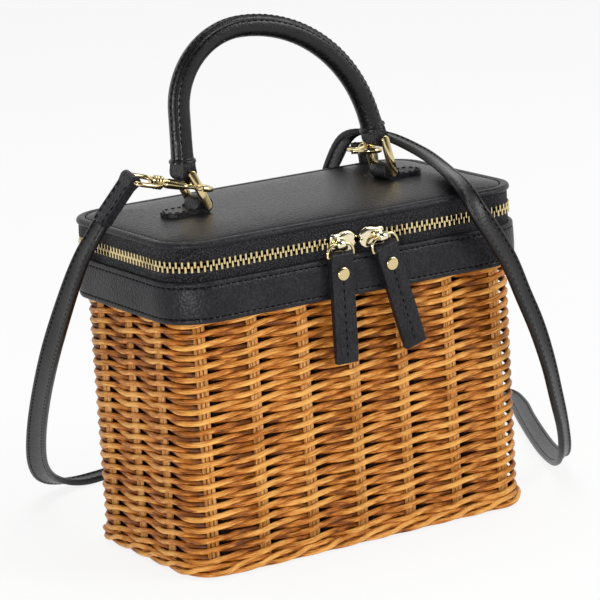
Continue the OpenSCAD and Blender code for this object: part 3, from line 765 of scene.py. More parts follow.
def twine_tree() -> Tree:
    """Twist strands round a closed line, row above row, half a turn for each stake gap.

    Returns:
        The tree, with named inputs for rows, strands, stakes and sizes in metres.
    """
    tree, source = new_tree("twined_rows", {
        "Rows": "Int", "Strands": "Int", "Stakes": "Float", "Steps": "Int", "Row Height": "Float",
        "Swing Out": "Float", "Swing Up": "Float", "Radius": "Float", "Waver": "Float", "Seed": "Int",
        "Finish": "Material"})
    given = source.outputs
    curve = add(tree, "GeometryNodeMeshToCurve", {"Mesh": given["Geometry"]})
    even = add(tree, "GeometryNodeResampleCurve", {"Curve": curve, "Count": given["Steps"]})
    total = add(tree, "ShaderNodeMath", {0: given["Rows"], 1: given["Strands"]}, operation="MULTIPLY")
    copies = add(tree, "GeometryNodeDuplicateElements", {"Geometry": even, "Amount": total}, domain="SPLINE")
    number = copies.outputs["Duplicate Index"]
    spline = add(tree, "GeometryNodeSplineParameter").outputs

    # Where a strand is in its twist: half a turn for each stake, the strands spread evenly
    count = add(tree, "ShaderNodeMath", {0: number, 1: given["Strands"]}, operation="DIVIDE")
    row = add(tree, "ShaderNodeMath", {0: count}, operation="FLOOR")
    strand = add(tree, "ShaderNodeMath", {0: number, 1: given["Strands"]}, operation="MODULO")
    share = add(tree, "ShaderNodeMath", {0: strand, 1: given["Strands"]}, operation="DIVIDE")
    halves = add(tree, "ShaderNodeMath", {0: spline["Factor"], 1: given["Stakes"]}, operation="MULTIPLY")
    turned = add(tree, "ShaderNodeMath", {0: halves, 1: math.pi}, operation="MULTIPLY")
    ahead = add(tree, "ShaderNodeMath", {0: share, 1: 2 * math.pi}, operation="MULTIPLY")
    phase = add(tree, "ShaderNodeMath", {0: turned, 1: ahead}, operation="ADD")

    # How far it lies out and up, with a slow drift by hand
    label = add(tree, "ShaderNodeMath", {0: number, 1: given["Seed"]}, operation="MULTIPLY_ADD")
    drift = add(tree, "ShaderNodeTexNoise", {
        "Vector": add(tree, "GeometryNodeInputPosition"), "W": label,
        "Scale": 22.0, "Detail": 1.0}, noise_dimensions="4D")
    centred = add(tree, "ShaderNodeMath", {0: drift.outputs["Fac"], 1: 0.5}, operation="SUBTRACT")
    sway = add(tree, "ShaderNodeMath", {0: centred, 1: given["Waver"]}, operation="MULTIPLY")
    depth, sine = (add(tree, "ShaderNodeMath", {0: phase}, operation=kind) for kind in ("COSINE", "SINE"))
    out = add(tree, "ShaderNodeMath", {0: depth, 1: given["Swing Out"]}, operation="MULTIPLY")
    size, sign = (add(tree, "ShaderNodeMath", {0: sine}, operation=kind) for kind in ("ABSOLUTE", "SIGN"))
    full = add(tree, "ShaderNodeMath", {0: size, 1: 0.6}, operation="POWER")
    swell = add(tree, "ShaderNodeMath", {0: full, 1: sign}, operation="MULTIPLY")
    rise = add(tree, "ShaderNodeMath", {0: swell, 1: given["Swing Up"], 2: sway}, operation="MULTIPLY_ADD")
    level = add(tree, "ShaderNodeMath", {0: row, 1: given["Row Height"], 2: rise}, operation="MULTIPLY_ADD")
    way = add(tree, "GeometryNodeInputNamedAttribute", {"Name": "out"}, data_type="FLOAT_VECTOR")
    aside = add(tree, "ShaderNodeVectorMath", {0: way.outputs["Attribute"], "Scale": out}, operation="SCALE")
    lift = add(tree, "ShaderNodeCombineXYZ", {"Z": level})
    offset = add(tree, "ShaderNodeVectorMath", {0: aside, 1: lift}, operation="ADD")
    shaped = add(tree, "GeometryNodeSetPosition", {"Geometry": copies, "Offset": offset})

    # What the cane's finish reads: a random tone, the length along and the depth, from which it paints shade
    # on inward strands; then the strand's round section
    shade = add(tree, "FunctionNodeRandomValue", {"ID": number, "Seed": given["Seed"]}, data_type="FLOAT")
    for name, value, domain in (("tone", shade.outputs[1], "CURVE"), ("along", spline["Length"], "POINT"),
                                ("depth", depth, "POINT")):
        shaped = add(tree, "GeometryNodeStoreNamedAttribute", {
            "Geometry": shaped, "Name": name, "Value": value}, domain=domain)
    circle = add(tree, "GeometryNodeCurvePrimitiveCircle", {"Resolution": 7, "Radius": given["Radius"]})
    around = add(tree, "GeometryNodeSplineParameter").outputs["Factor"]
    girth = add(tree, "GeometryNodeStoreNamedAttribute", {
        "Geometry": circle, "Name": "girth", "Value": around}, domain="POINT")
    strands = add(tree, "GeometryNodeCurveToMesh", {"Curve": shaped, "Profile Curve": girth})
    real = add(tree, "GeometryNodeRealizeInstances", {"Geometry": strands})
    smooth = add(tree, "GeometryNodeSetShadeSmooth", {"Geometry": real})
    dressed = add(tree, "GeometryNodeSetMaterial", {"Geometry": smooth, "Material": given["Finish"]})
    add(tree, "NodeGroupOutput", {"Geometry": dressed})
    return tree


@dataclass
class Workshop:
    """What every sub-assembly works with: the outline, the materials and the patterns."""

    plan: Plan = field(default_factory=Plan)
    palette: Palette = field(default_factory=Palette)
    rows: Tree = field(default_factory=row_tree)
    twine: Tree = field(default_factory=twine_tree)
    stitch_l: float = 2.3
    stitch_w: float = 0.75
    stitch_h: float = 0.7
    stitch_gap: float = 3.3
    fold_lead: float = 0.6
    fold_run: float = 2.2
    fold_pull: float = 0.4
    fold_sharp: float = 48.0
    least_half: float = 0.6

    def __post_init__(self) -> None:
        """Make the one stitch that every seam repeats; it is removed at the end."""
        size = Vector((self.stitch_l, self.stitch_w, self.stitch_h))
        work = bmesh.new()
        bmesh.ops.create_uvsphere(work, u_segments=6, v_segments=4, radius=0.5)
        bmesh.ops.rotate(work, verts=work.verts, matrix=Matrix.Rotation(math.pi / 2, 3, "Y"))
        bmesh.ops.scale(work, verts=work.verts, vec=size * MM)
        self.stitch = self.form("stitch_form", work)
        self.stitch.data.shade_smooth()

    def form(self, name: str, work: bmesh.types.BMesh) -> Piece:
        """Make a small form to repeat from finished mesh work."""
        return link(name, pour(work, bpy.data.meshes.new(name)))

    def row(self, name: str, frame: Frame, loop: bool, count: int, form: Piece,
            material: Material) -> Piece:
        """Repeat a form along a line.

        Args:
            name: Name of the piece.
            frame: Points of the line with the direction that the form faces.
            loop: Whether the line is closed.
            count: Number of copies.
            form: Form to repeat.
            material: Material of the copies.

        Returns:
            The row as one piece.
        """
        values = {"Count": count, "Piece": form, "Finish": material}
        return grow(guide(name, frame, loop), self.rows, values)

    def seam(self, name: str, frame: Frame, loop: bool = False) -> Piece:
        """Sew a row of stitches along a line.

        Args:
            name: Name of the piece.
            frame: Points of the line with the direction that the stitches face.
            loop: Whether the line is closed.

        Returns:
            The stitches as one piece.
        """
        points = [p for p, _ in frame] + ([frame[0][0]] if loop else [])
        count = max(2, round(length_of(points) / self.stitch_gap))
        return self.row(name, frame, loop, count, self.stitch, self.palette.thread)

    def seams(self, name: str, frames: list[Frame], loop: bool = False) -> Piece:
        """Sew several rows of stitches and join them.

        Args:
            name: Name of one seam; the joined piece has its plural.
            frames: Line of each row.
            loop: Whether the lines are closed.

        Returns:
            All stitches as one piece.
        """
        return join(f"{name}s", [self.seam(f"{name}_{k}", frame, loop) for k, frame in enumerate(frames)])

    def folded(self, name: str, place: Matrix, fold: float, tail: float, thick: float, width: float,
               drop: float = 0.0, nose: float = 0.0, edge: float = 0.5) -> Piece:
        """Make a leather strip folded round a bar, its doubled tail lying along local X.

        Args:
            name: Name of the piece.
            place: Where the bar's middle lies, local Y along the bar.
            fold: Radius of the fold.
            tail: Length of the tail.
            thick: Thickness of the tail.
            width: Width of the strip.
            drop: How far the tail's middle lies below the bar's.
            nose: Rounding of the tail's end in plan.
            edge: Rounding of the strip's edges.

        Returns:
            The folded strip.
        """
        low, high, straight = -drop - thick / 2, -drop + thick / 2, tail - nose

        def close(z: float, side: float) -> tuple[float, list[tuple[float, float]]]:
            """Lead the leather from the fold on to one face of the tail.

            Args:
                z: Height of the tail's face.
                side: 1 for the upper face, -1 for the lower one.

            Returns:
                Angle at which the fold ends, and the points from there to the tail.
            """
            lean = math.asin(max(-1.0, min(1.0, side * z / fold)))
            leave = min(lean + self.fold_lead, math.pi / 2)
            start = Vector((fold * math.cos(leave), side * fold * math.sin(leave)))
            end = Vector((fold * math.cos(lean) + self.fold_run, z))
            pull = self.fold_pull * (end - start).length
            first = start + Vector((math.sin(leave), -side * math.cos(leave))) * pull
            second = end - Vector((pull, 0))
            return leave, [tuple(start * (1 - u) ** 3 + first * 3 * u * (1 - u) ** 2
                                 + second * 3 * u * u * (1 - u) + end * u ** 3)
                           for u in (k / 6 for k in range(1, 7))]

        def half(x: float) -> float:
            """Half width of the strip at a distance along its tail."""
            past = x - straight
            if past <= 0 or nose == 0:
                return width / 2
            return max(width / 2 - nose + math.sqrt(max(nose * nose - past * past, 0.0)), self.least_half)

        (top, upper), (bottom, lower) = close(high, 1.0), close(low, -1.0)
        turn = [top + (2 * math.pi - bottom - top) * k / 22 for k in range(23)]
        outline = [(fold * math.cos(a), fold * math.sin(a)) for a in turn] + lower
        reach = lower[-1][0]
        spots = [reach + (straight - reach) * k / 8 for k in range(1, 9)]
        spots += [straight + nose * math.sin(math.pi / 2 * k / 12) for k in range(1, 13)] if nose else []
        outline += [(x, low) for x in spots] + [(x, high) for x in reversed(spots)] + list(reversed(upper))
        work = bmesh.new()
        sides = [[work.verts.new(place @ Vector((x, side * half(x), z)) * MM) for x, z in outline]
                 for side in (-1, 1)]
        count = len(outline)
        for k in range(count):
            m = (k + 1) % count
            work.faces.new([sides[0][k], sides[0][m], sides[1][m], sides[1][k]])
        caps = [work.faces.new(side) for side in sides]
        rim = list(dict.fromkeys(e for face in caps for e in face.edges))
        bmesh.ops.bevel(work, geom=rim, offset=edge * MM, segments=2, profile=0.5, affect="EDGES")
        bmesh.ops.triangulate(work, faces=[f for f in work.faces if len(f.verts) > 4])
        bmesh.ops.recalc_face_normals(work, faces=work.faces)
        mesh = pour(work, bpy.data.meshes.new(name))
        return present(name, mesh, self.palette.leather, self.fold_sharp)

    def clear(self) -> None:
        """Remove the form that was only there to be repeated."""
        bpy.data.objects.remove(self.stitch)


def hand_over(piece: Piece, body: str, slot: str, *nodes: str) -> Piece:
    """Fix a piece to its body and hide the solids that it stands for.

    Args:
        piece: Finished piece.
        body: Body that it moves with.
        slot: Material slot; not used.
        nodes: Solids that it replaces.

    Returns:
        The same piece.
    """
    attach(piece, body)
    if nodes:
        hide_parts(*nodes)
    LOG.info("%s rides on %s", piece.name, body)
    return piece


def dress(node: str, material: Material) -> None:
    """Give a CAD node that stays as it is its material."""
    piece = bpy.data.objects[node]
    piece.data.materials.clear()
    piece.data.materials.append(material)
    LOG.info("%s is dressed in %s", node, material.name)


# Sub-assemblies


@dataclass
class Assembly:
    """Sub-assembly of the bag; the workshop gives it its outline, materials and patterns."""

    shop: Workshop

    @property
    def plan(self) -> Plan:
        """Outline and heights that the sub-assemblies share."""
        return self.shop.plan

    @property
    def palette(self) -> Palette:
        """Materials that the sub-assemblies share."""
        return self.shop.palette


@dataclass
class Basket(Assembly):
    """Twined cane body with its foot rope, lining and leather rim band."""

    foot: float = 5.8
    top: float = 141.8
    rows: int = 26
    stakes: int = 20
    wall_inset: float = 5.8
    strand_r: float = 1.4
    swing_out: float = 1.75
    swing_up: float = 1.22
    waver: float = 2.0
    rod_r: float = 0.95
    rod_gap: float = 1.95
    rod_over: float = 4.0
    rod_tone: float = 0.45
    rod_contrast: float = 0.25
    # Depth that the cane's painted shade reads for the rods: a little outward, so a little lighter.
    rod_shade_depth: float = 0.4
    rope_inset: float = 4.2
    rope_z: float = 3.6
    rope_r: float = 1.25
    rope_out: float = 0.9
    rope_up: float = 2.0
    rope_waver: float = 0.5
    band_low: float = 124.0
    seam_in: float = 2.6
    seam_inset: float = 0.25

    def build(self) -> None:
        """Make the basket's pieces."""
        self.weave()
        self.stand()
        self.border()
        self.band()
        for node, material in (("lining", self.palette.lining), ("rim_facing", self.palette.leather),
                               ("base_panel", self.palette.stake)):
            dress(node, material)

    def frame(self, inset: float, z: float) -> Frame:
        """Follow the bag's outline at an inset and a height."""
        return [(p + UP * z, way) for p, way in self.plan.ring(inset)]

    def weave(self) -> None:
        """Twine the strands of all rows round the stakes."""
        row_h = (self.top - self.foot) / self.rows
        frame = self.frame(self.wall_inset, self.foot + row_h / 2)
        strands = grow(guide("woven_strands", frame, True), self.shop.twine, {
            "Rows": self.rows, "Strands": 2, "Stakes": float(self.stakes), "Steps": self.stakes * 11,
            "Row Height": row_h * MM, "Swing Out": self.swing_out * MM, "Swing Up": self.swing_up * MM,
            "Radius": self.strand_r * MM, "Waver": self.waver * MM, "Seed": 7,
            "Finish": self.palette.cane})
        hand_over(strands, "basket", "woven_cane", "woven_wall")

    def stand(self) -> None:
        """Set three thin rods side by side at every stake."""
        work = bmesh.new()
        height = self.top - self.foot + self.rod_over
        for k in (-1, 0, 1):
            made = bmesh.ops.create_cone(work, cap_ends=True, segments=7, radius1=self.rod_r * MM,
                                         radius2=self.rod_r * MM, depth=height * MM)
            bmesh.ops.rotate(work, verts=made["verts"], matrix=Matrix.Rotation(math.pi / 2, 3, "X"))
            bmesh.ops.translate(work, verts=made["verts"], vec=Vector((k * self.rod_gap, 0, 0)) * MM)
        form = self.shop.form("stake_form", work)
        mesh = form.data
        looks: dict[str, list[float]] = {"tone": [], "along": [], "girth": [], "depth": []}
        for vert in mesh.vertices:
            rod = round(vert.co.x / (self.rod_gap * MM))
            looks["tone"].append(self.rod_tone + self.rod_contrast * rod)
            looks["along"].append(vert.co.y)
            looks["girth"].append(0.5 + (vert.co.x / MM - rod * self.rod_gap) / self.rod_r / 2)
            looks["depth"].append(self.rod_shade_depth)
        for name, values in looks.items():
            mesh.attributes.new(name, "FLOAT", "POINT").data.foreach_set("value", values)
        mesh.shade_smooth()
        frame = self.frame(self.wall_inset, (self.foot + self.top - self.rod_over) / 2)
        stakes = self.shop.row("stakes", frame, True, self.stakes, form, self.palette.stake)
        bpy.data.objects.remove(form)
        hand_over(stakes, "basket", "woven_cane")

    def border(self) -> None:
        """Twist the open rope along the foot."""
        frame = self.frame(self.rope_inset, self.rope_z)
        rope = grow(guide("foot_rope", frame, True), self.shop.twine, {
            "Rows": 1, "Strands": 3, "Stakes": float(self.stakes), "Steps": self.stakes * 12,
            "Row Height": 0.0, "Swing Out": self.rope_out * MM, "Swing Up": self.rope_up * MM,
            "Radius": self.rope_r * MM, "Waver": self.rope_waver * MM, "Seed": 3,
            "Finish": self.palette.cane})
        hand_over(rope, "basket", "woven_cane", "foot_border")

    def band(self) -> None:
        """Fold the leather rim band and sew it along both edges."""
        low, high, cut = self.band_low, self.plan.rim_top, self.seam_in
        up = [(2.0, low + 0.3), (1.2, low), (0.5, low + 0.15), (0.15, low + 0.7), (0.0, low + 1.4),
              (0.05, low + 2.0), (0.4, low + cut), (0.02, low + 3.2), (-0.1, low + 4.2)]
        down = [(inset, low + high - z) for inset, z in reversed(up)]
        profile = up + [(-0.22, low + 7.0), (-0.25, (low + high) / 2), (-0.22, high - 7.0)] + down
        band = self.plan.sweep("rim_band_leather", profile, self.palette.leather, sharp=60.0)
        lines = [self.frame(self.seam_inset, z) for z in (low + cut, high - cut)]
        seams = self.shop.seams("rim_seam", lines, True)
        hand_over(band, "basket", "black_leather", "rim_band")
        hand_over(seams, "basket", "black_leather")


@dataclass
class Zip(Assembly):
    """Tapes, meshed teeth, end stops, sliders and the hinge strip at the back."""

    inset: float = 2.7
    bead_off: float = 2.8
    pitch: float = 2.9
    tooth: tuple[float, float, float] = (1.1, 3.4, 2.6)
    tooth_edge: float = 0.28
    mesh_over: float = 1.2
    parted: float = 8.65
    meet_x: float = -0.5
    stop_l: float = 3.0
    slider_l: float = 14.4
    slider_h: float = 10.2
    slider_y: float = -54.3
    nose_gap: float = 0.7
    plate_in: float = 1.75
    lug_r: float = 2.6
    lug_back: float = 4.0
    lug_out: float = 6.0
    hinge_over: float = 0.3
    hinge_bulge: float = 0.35
    hinge_steps: int = 8

    def build(self) -> None:
        """Make the zip's pieces."""
        self.tapes()
        self.teeth()
        self.hinge()
        for side, sign in SIDES:
            self.slider(side, sign)
        dress("zip_end_stops", self.palette.gold)

    def slider(self, side: str, sign: float) -> None:
        """Cast one slider: two crowned plates, the wedge between them and the crown for the pull.

        Args:
            side: Left or right.
            sign: -1 for the left slider, whose nose looks right, and 1 for the right one.
        """
        gold, tail = self.palette.slider, self.slider_h / 2 - 0.8
        nose, reach = self.slider_l / 2, self.slider_h / 2
        middle = Vector((self.meet_x + sign * (nose + self.nose_gap), self.slider_y, self.plan.zip_z))
        outward = Vector((0, 1, 0))

        def place(u: float, out: float, v: float) -> Vector:
            """Find a point: u towards the nose, out from the zip, v up."""
            return middle + Vector((-sign * u, -out, v))

        half = ((nose - 1.0, 0.0), (nose - 0.4, 1.5), (nose - 1.4, 3.4), (nose - 3.4, reach - 0.35),
                (nose - 5.4, reach), (nose - 8.0, reach - 0.4), (nose - 10.0, tail), (1.4 - nose, tail),
                (0.4 - nose, tail - 0.5), (-nose, tail - 1.6))
        other = [(u, -v, 0) for u, v in reversed(half[1:])]
        edge = smooth_line([(u, v, 0) for u, v in half] + other, 4, True)
        layers = ((1.0, 0.0), (1.0, 0.9), (0.95, 1.3), (0.86, 1.5), (0.62, 1.72), (0.3, 1.8), (0.02, 1.82))
        plates = []
        for face in (1.0, -1.0):
            rings = [[place(p.x * share, face * (self.plate_in + rise), p.y * share) for p in edge]
                     for share, rise in layers]
            plates.append(sweep(f"slider_{side}_plate", rings, gold, False, 50.0))
        deep = self.plate_in + 0.5
        wedge = ((1.8, 0.4), (2.2, 1.0), (4.6, 1.0), (5.0, 0.4))
        plates.append(tube(f"slider_{side}_wedge", [place(u, 0, 0) for u, _ in wedge],
                           [(deep, high) for _, high in wedge], gold, side=outward, sides=16))
        root, top = self.plate_in + 0.8, self.lug_out + self.lug_r
        bar = ((-2.4, 0.7), (-2.2, 0.88), (-1.7, 1.0), (1.7, 1.0), (2.2, 0.88), (2.4, 0.7))
        crown = [place(u - self.lug_back, (root + top) / 2, 0) for u, _ in bar]
        girths = [((top - root) / 2 * k, self.lug_r * k) for _, k in bar]
        plates.append(tube(f"slider_{side}_crown", crown, girths, gold, side=outward, sides=20))
        hand_over(join(f"slider_{side}_cast", plates), f"slider_{side}", "gold_metal", f"slider_{side}")

    def tapes(self) -> None:
        """Weave the two tapes, each with a corded bead at its teeth."""
        plan = self.plan
        low, high = plan.zip_z - self.bead_off, plan.zip_z + self.bead_off
        for name, body, a, b, bead in (("lower", "basket", plan.rim_top - 2.0, low + 0.6, low),
                                       ("upper", "lid", plan.lid_low + 0.1, high - 0.6, high)):
            way = 1.0 if b > a else -1.0
            neck, waist, crest, brow = b - way * 1.2, b - way * 0.5, bead + way * 1.2, bead + way * 0.9
            profile = [(2.25, a), (2.2, (a + b) / 2), (2.3, neck), (1.95, waist), (1.95, brow),
                       (2.5, crest), (2.9, crest), (3.45, brow), (3.45, waist), (3.1, neck),
                       (3.2, (a + b) / 2), (3.15, a)]
            tape = plan.sweep(f"{name}_tape_cloth", profile, self.palette.tape, Stretch.ZIP)
            hand_over(tape, body, "zip_tape", f"{name}_tape")

    def teeth(self) -> None:
        """Set the teeth in step, those of one row between those of the other."""
        plan, tall = self.plan, self.tooth[1]
        work = bmesh.new()
        bmesh.ops.create_cube(work, size=1.0)
        bmesh.ops.scale(work, verts=work.verts, vec=Vector(self.tooth) * MM)
        bmesh.ops.bevel(work, geom=list(work.edges), offset=self.tooth_edge * MM, segments=1,
                        affect="EDGES")
        form = self.shop.form("tooth_form", work)
        end = plan.half_length(self.inset) - self.stop_l - self.pitch
        most = math.floor(end / self.pitch)
        for name, body, shift, z in (("lower", "basket", 0.5, plan.zip_z + self.mesh_over / 2 - tall / 2),
                                     ("upper", "lid", 0.0, plan.zip_z - self.mesh_over / 2 + tall / 2)):
            rows = []
            for side in (-1, 1):
                steps = [i + shift for i in range(most)
                         if abs(side * (i + shift) * self.pitch - self.meet_x) > self.parted]
                first, last = steps[0] * self.pitch, steps[-1] * self.pitch
                count = 2 * len(steps)
                spots = [side * (first + (last - first) * k / count) for k in range(count + 1)]
                frame = [(p + UP * z, way) for p, way in (plan.at(t, self.inset) for t in sorted(spots))]
                rows.append(self.shop.row(f"{name}_teeth_{side}", frame, False, len(steps), form,
                                          self.palette.gold))
            hand_over(join(f"{name}_teeth_row", rows), body, "gold_metal", f"{name}_teeth")
        bpy.data.objects.remove(form)

    def hinge(self) -> None:
        """Make the soft leather strip that joins the lid to the rim at the back, bowed out a little."""
        low, high = self.plan.rim_top - self.hinge_over, self.plan.lid_low + self.hinge_over
        steps = self.hinge_steps
        rise = [(low + (high - low) * k / steps, self.hinge_bulge * math.sin(math.pi * k / steps))
                for k in range(steps + 1)]
        profile = [(1.1 - bulge, z) for z, bulge in rise]
        profile += [(2.2 - bulge, z) for z, bulge in reversed(rise)]
        strip = self.plan.sweep("hinge_leather", profile, self.palette.leather, Stretch.HINGE, 60.0)
        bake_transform(strip)
        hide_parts("hinge_strip")
        LOG.info("%s bends between basket and lid", strip.name)


@dataclass
class Lid(Assembly):
    """Crowned leather lid with a sewn welt along its edge, and the two chapes."""

    welt_seam: float = 5.6
    seam_up: float = 2.5
    chape_r: float = 4.2
    chape_l: float = 20.5
    chape_t: float = 2.6
    chape_w: float = 13.6
    sewn_from: float = 8.0
    sewn_to: float = 13.0
    sewn_in: float = 1.5
    sewn_round: float = 14.0

    def build(self) -> None:
        """Make the lid's pieces."""
        self.panel()
        self.chapes()
        dress("lid_lining", self.palette.lining)

    def panel(self) -> None:
        """Raise the lid from its rolled edge to its flat crown and sew the welt."""
        plan = self.plan
        z = plan.lid_low
        profile = [(30.0, z + 0.2), (2.2, z), (1.5, z + 0.12), (1.05, z + 0.6), (0.95, z + 1.3),
                   (1.1, z + 2.0), (1.6, z + 2.6), (2.5, z + 2.95), (3.6, z + 3.0), (4.7, z + 2.8),
                   (5.3, z + 2.5), (self.welt_seam, z + 2.32), (6.0, z + 2.55), (6.8, z + 2.95),
                   (9.0, z + 3.5), (14.0, z + 4.25), (21.5, z + 4.85), (29.0, z + 5.2),
                   (40.0, z + 5.35), (50.0, z + 5.4)]
        rings = [[p + UP * height for p, _ in plan.ring(inset)] for inset, height in profile]
        lid = sweep("lid_leather", rings, self.palette.leather, False, 60.0)
        hand_over(lid, "lid", "black_leather", "lid_panel")
        frame = [(p + UP * (z + self.seam_up), UP) for p, _ in plan.ring(self.welt_seam)]
        hand_over(self.shop.seam("lid_seam", frame, True), "lid", "black_leather")

    def chapes(self) -> None:
        """Fold a chape round each ring's lower bar, its tail sewn flat on the lid."""
        half, drop = self.chape_w / 2, self.chape_r - self.chape_t / 2
        inner = half - self.sewn_in
        line = [(self.sewn_from, -inner), (self.sewn_to, -inner)]
        line += [(self.sewn_round + inner * math.sin(math.radians(a)), -inner * math.cos(math.radians(a)))
                 for a in range(0, 181, 15)]
        line += [(self.sewn_to, inner), (self.sewn_from, inner)]
        for side, sign in SIDES:
            spot = Matrix.Translation((sign * self.plan.ring_x, 0, self.plan.pivot_z))
            place = spot @ Matrix.Rotation(0.0 if sign > 0 else math.pi, 4, "Z")
            chape = self.shop.folded(f"chape_{side}_leather", place, self.chape_r, self.chape_l,
                                     self.chape_t, self.chape_w, drop, nose=half - 0.2, edge=0.6)
            hand_over(chape, "lid", "black_leather", f"chape_{side}")
            frame = [(place @ Vector((x, y, -self.chape_r + self.chape_t + 0.05)), UP) for x, y in line]
            hand_over(self.shop.seam(f"chape_{side}_seam", frame), "lid", "black_leather")


@dataclass
class Handle(Assembly):
    """Rolled handle with a sewn seam inside, its two leather loops and the rings."""

    left: tuple[float, float] = (-60.396, 184.56)
    right: tuple[float, float] = (49.063, 185.751)
    shoulder_r: float = 36.0
    sweep_deg: float = 74.0
    foot_l: float = 12.4
    neck: float = 5.2
    grip_r: float = 5.3
    collar_r: float = 6.6
    collar_h: float = 1.6
    flare: float = 0.4
    flare_h: float = 4.0
    loop_r: float = 3.9
    loop_w: float = 13.0
    loop_t: float = 6.8
    ring_edge: float = 0.35
    section: int = 40
    seam_lean: float = 38.0
    groove: float = 0.75
    groove_w: float = 0.13
    ridge: float = 0.28
    ridge_w: float = 0.22
    ridge_at: float = 0.42
    seam_out: float = 0.2
    seam_end: float = 3.5

    def build(self) -> None:
        """Make the handle's pieces."""
        self.grip()
        for side, (x, z), angle in (("left", self.left, 0.0),
                                    ("right", self.right, self.sweep_deg - 90.0)):
            place = (Matrix.Translation((x, 0, z)) @ Matrix.Rotation(math.radians(angle), 4, "Y")
                     @ Matrix.Rotation(-math.pi / 2, 4, "Y"))
            loop = self.shop.folded(f"handle_loop_{side}_leather", place, self.loop_r, self.neck + 0.6,
                                    self.loop_t, self.loop_w, edge=1.1)
            hand_over(loop, "handle", "black_leather", f"handle_loop_{side}")
            ring = soften(f"ring_{side}", self.palette.gold, self.ring_edge)
            hand_over(ring, f"ring_{side}", "gold_metal", f"ring_{side}")

    def path(self) -> Frame:
        """Follow the handle's middle from the left neck to the right one.

        Returns:
            Points with their directions of travel.
        """
        turn = math.radians(self.sweep_deg)
        (lx, lz), (rx, rz) = self.left, self.right
        long_r = (rx - lx - self.shoulder_r - self.foot_l * math.cos(turn)) / math.sin(turn)
        leg = rz - lz - self.shoulder_r + long_r * (1 - math.cos(turn)) + self.foot_l * math.sin(turn)
        top_x, top_z = lx + self.shoulder_r, lz + leg + self.shoulder_r
        out = [(Vector((lx, 0, lz + self.neck + (leg - self.neck) * k / 72)), UP.copy()) for k in range(72)]
        arcs = [(self.shoulder_r, math.radians(180 - 90 * k / 24)) for k in range(25)]
        arcs += [(long_r, math.radians(90) - turn * k / 28) for k in range(1, 29)]
        for r, a in arcs:
            out.append((Vector((top_x + r * math.cos(a), 0, top_z - r * (1 - math.sin(a)))),
                        Vector((math.sin(a), 0, -math.cos(a)))))
        last, way = out[-1]
        end = Vector((rx, 0, rz)) - way * self.neck
        return out + [(last.lerp(end, k / 24), way) for k in range(1, 25)]

    def grip(self) -> None:
        """Roll the leather round its filler, with a double ridge along the seam."""
        path = self.path()
        lean, front = math.radians(self.seam_lean), Vector((0, -1, 0))
        total = length_of([p for p, _ in path])
        rings, seams, gone = [], ([], []), 0.0
        for i, (p, way) in enumerate(path):
            gone += (p - path[i - 1][0]).length if i else 0.0
            seam = front.cross(way) * math.cos(lean) + front * math.sin(lean)
            across = way.cross(seam)
            near = min(gone, total - gone)
            swell = ((self.collar_r - self.grip_r - self.flare) * math.exp(-(near / self.collar_h) ** 8)
                     + self.flare * math.exp(-near / self.flare_h))
            ring = []
            for k in range(self.section):
                a = 2 * math.pi * k / self.section
                d = min(a, 2 * math.pi - a)
                r = (self.grip_r + swell - self.groove * math.exp(-(d / self.groove_w) ** 2)
                     + self.ridge * math.exp(-((d - self.ridge_at) / self.ridge_w) ** 2))
                ring.append(p + (seam * math.cos(a) + across * math.sin(a)) * r)
            rings.append(ring)
            if near > self.seam_end:
                for line, a in zip(seams, (-self.ridge_at, self.ridge_at)):
                    out = seam * math.cos(a) + across * math.sin(a)
                    line.append((p + out * (self.grip_r + self.seam_out), out))
        grip = sweep("handle_leather", rings, self.palette.rolled, False, 70.0)
        hand_over(grip, "handle", "black_leather", "handle_grip")
        hand_over(self.shop.seams("handle_seam", seams), "handle", "black_leather")


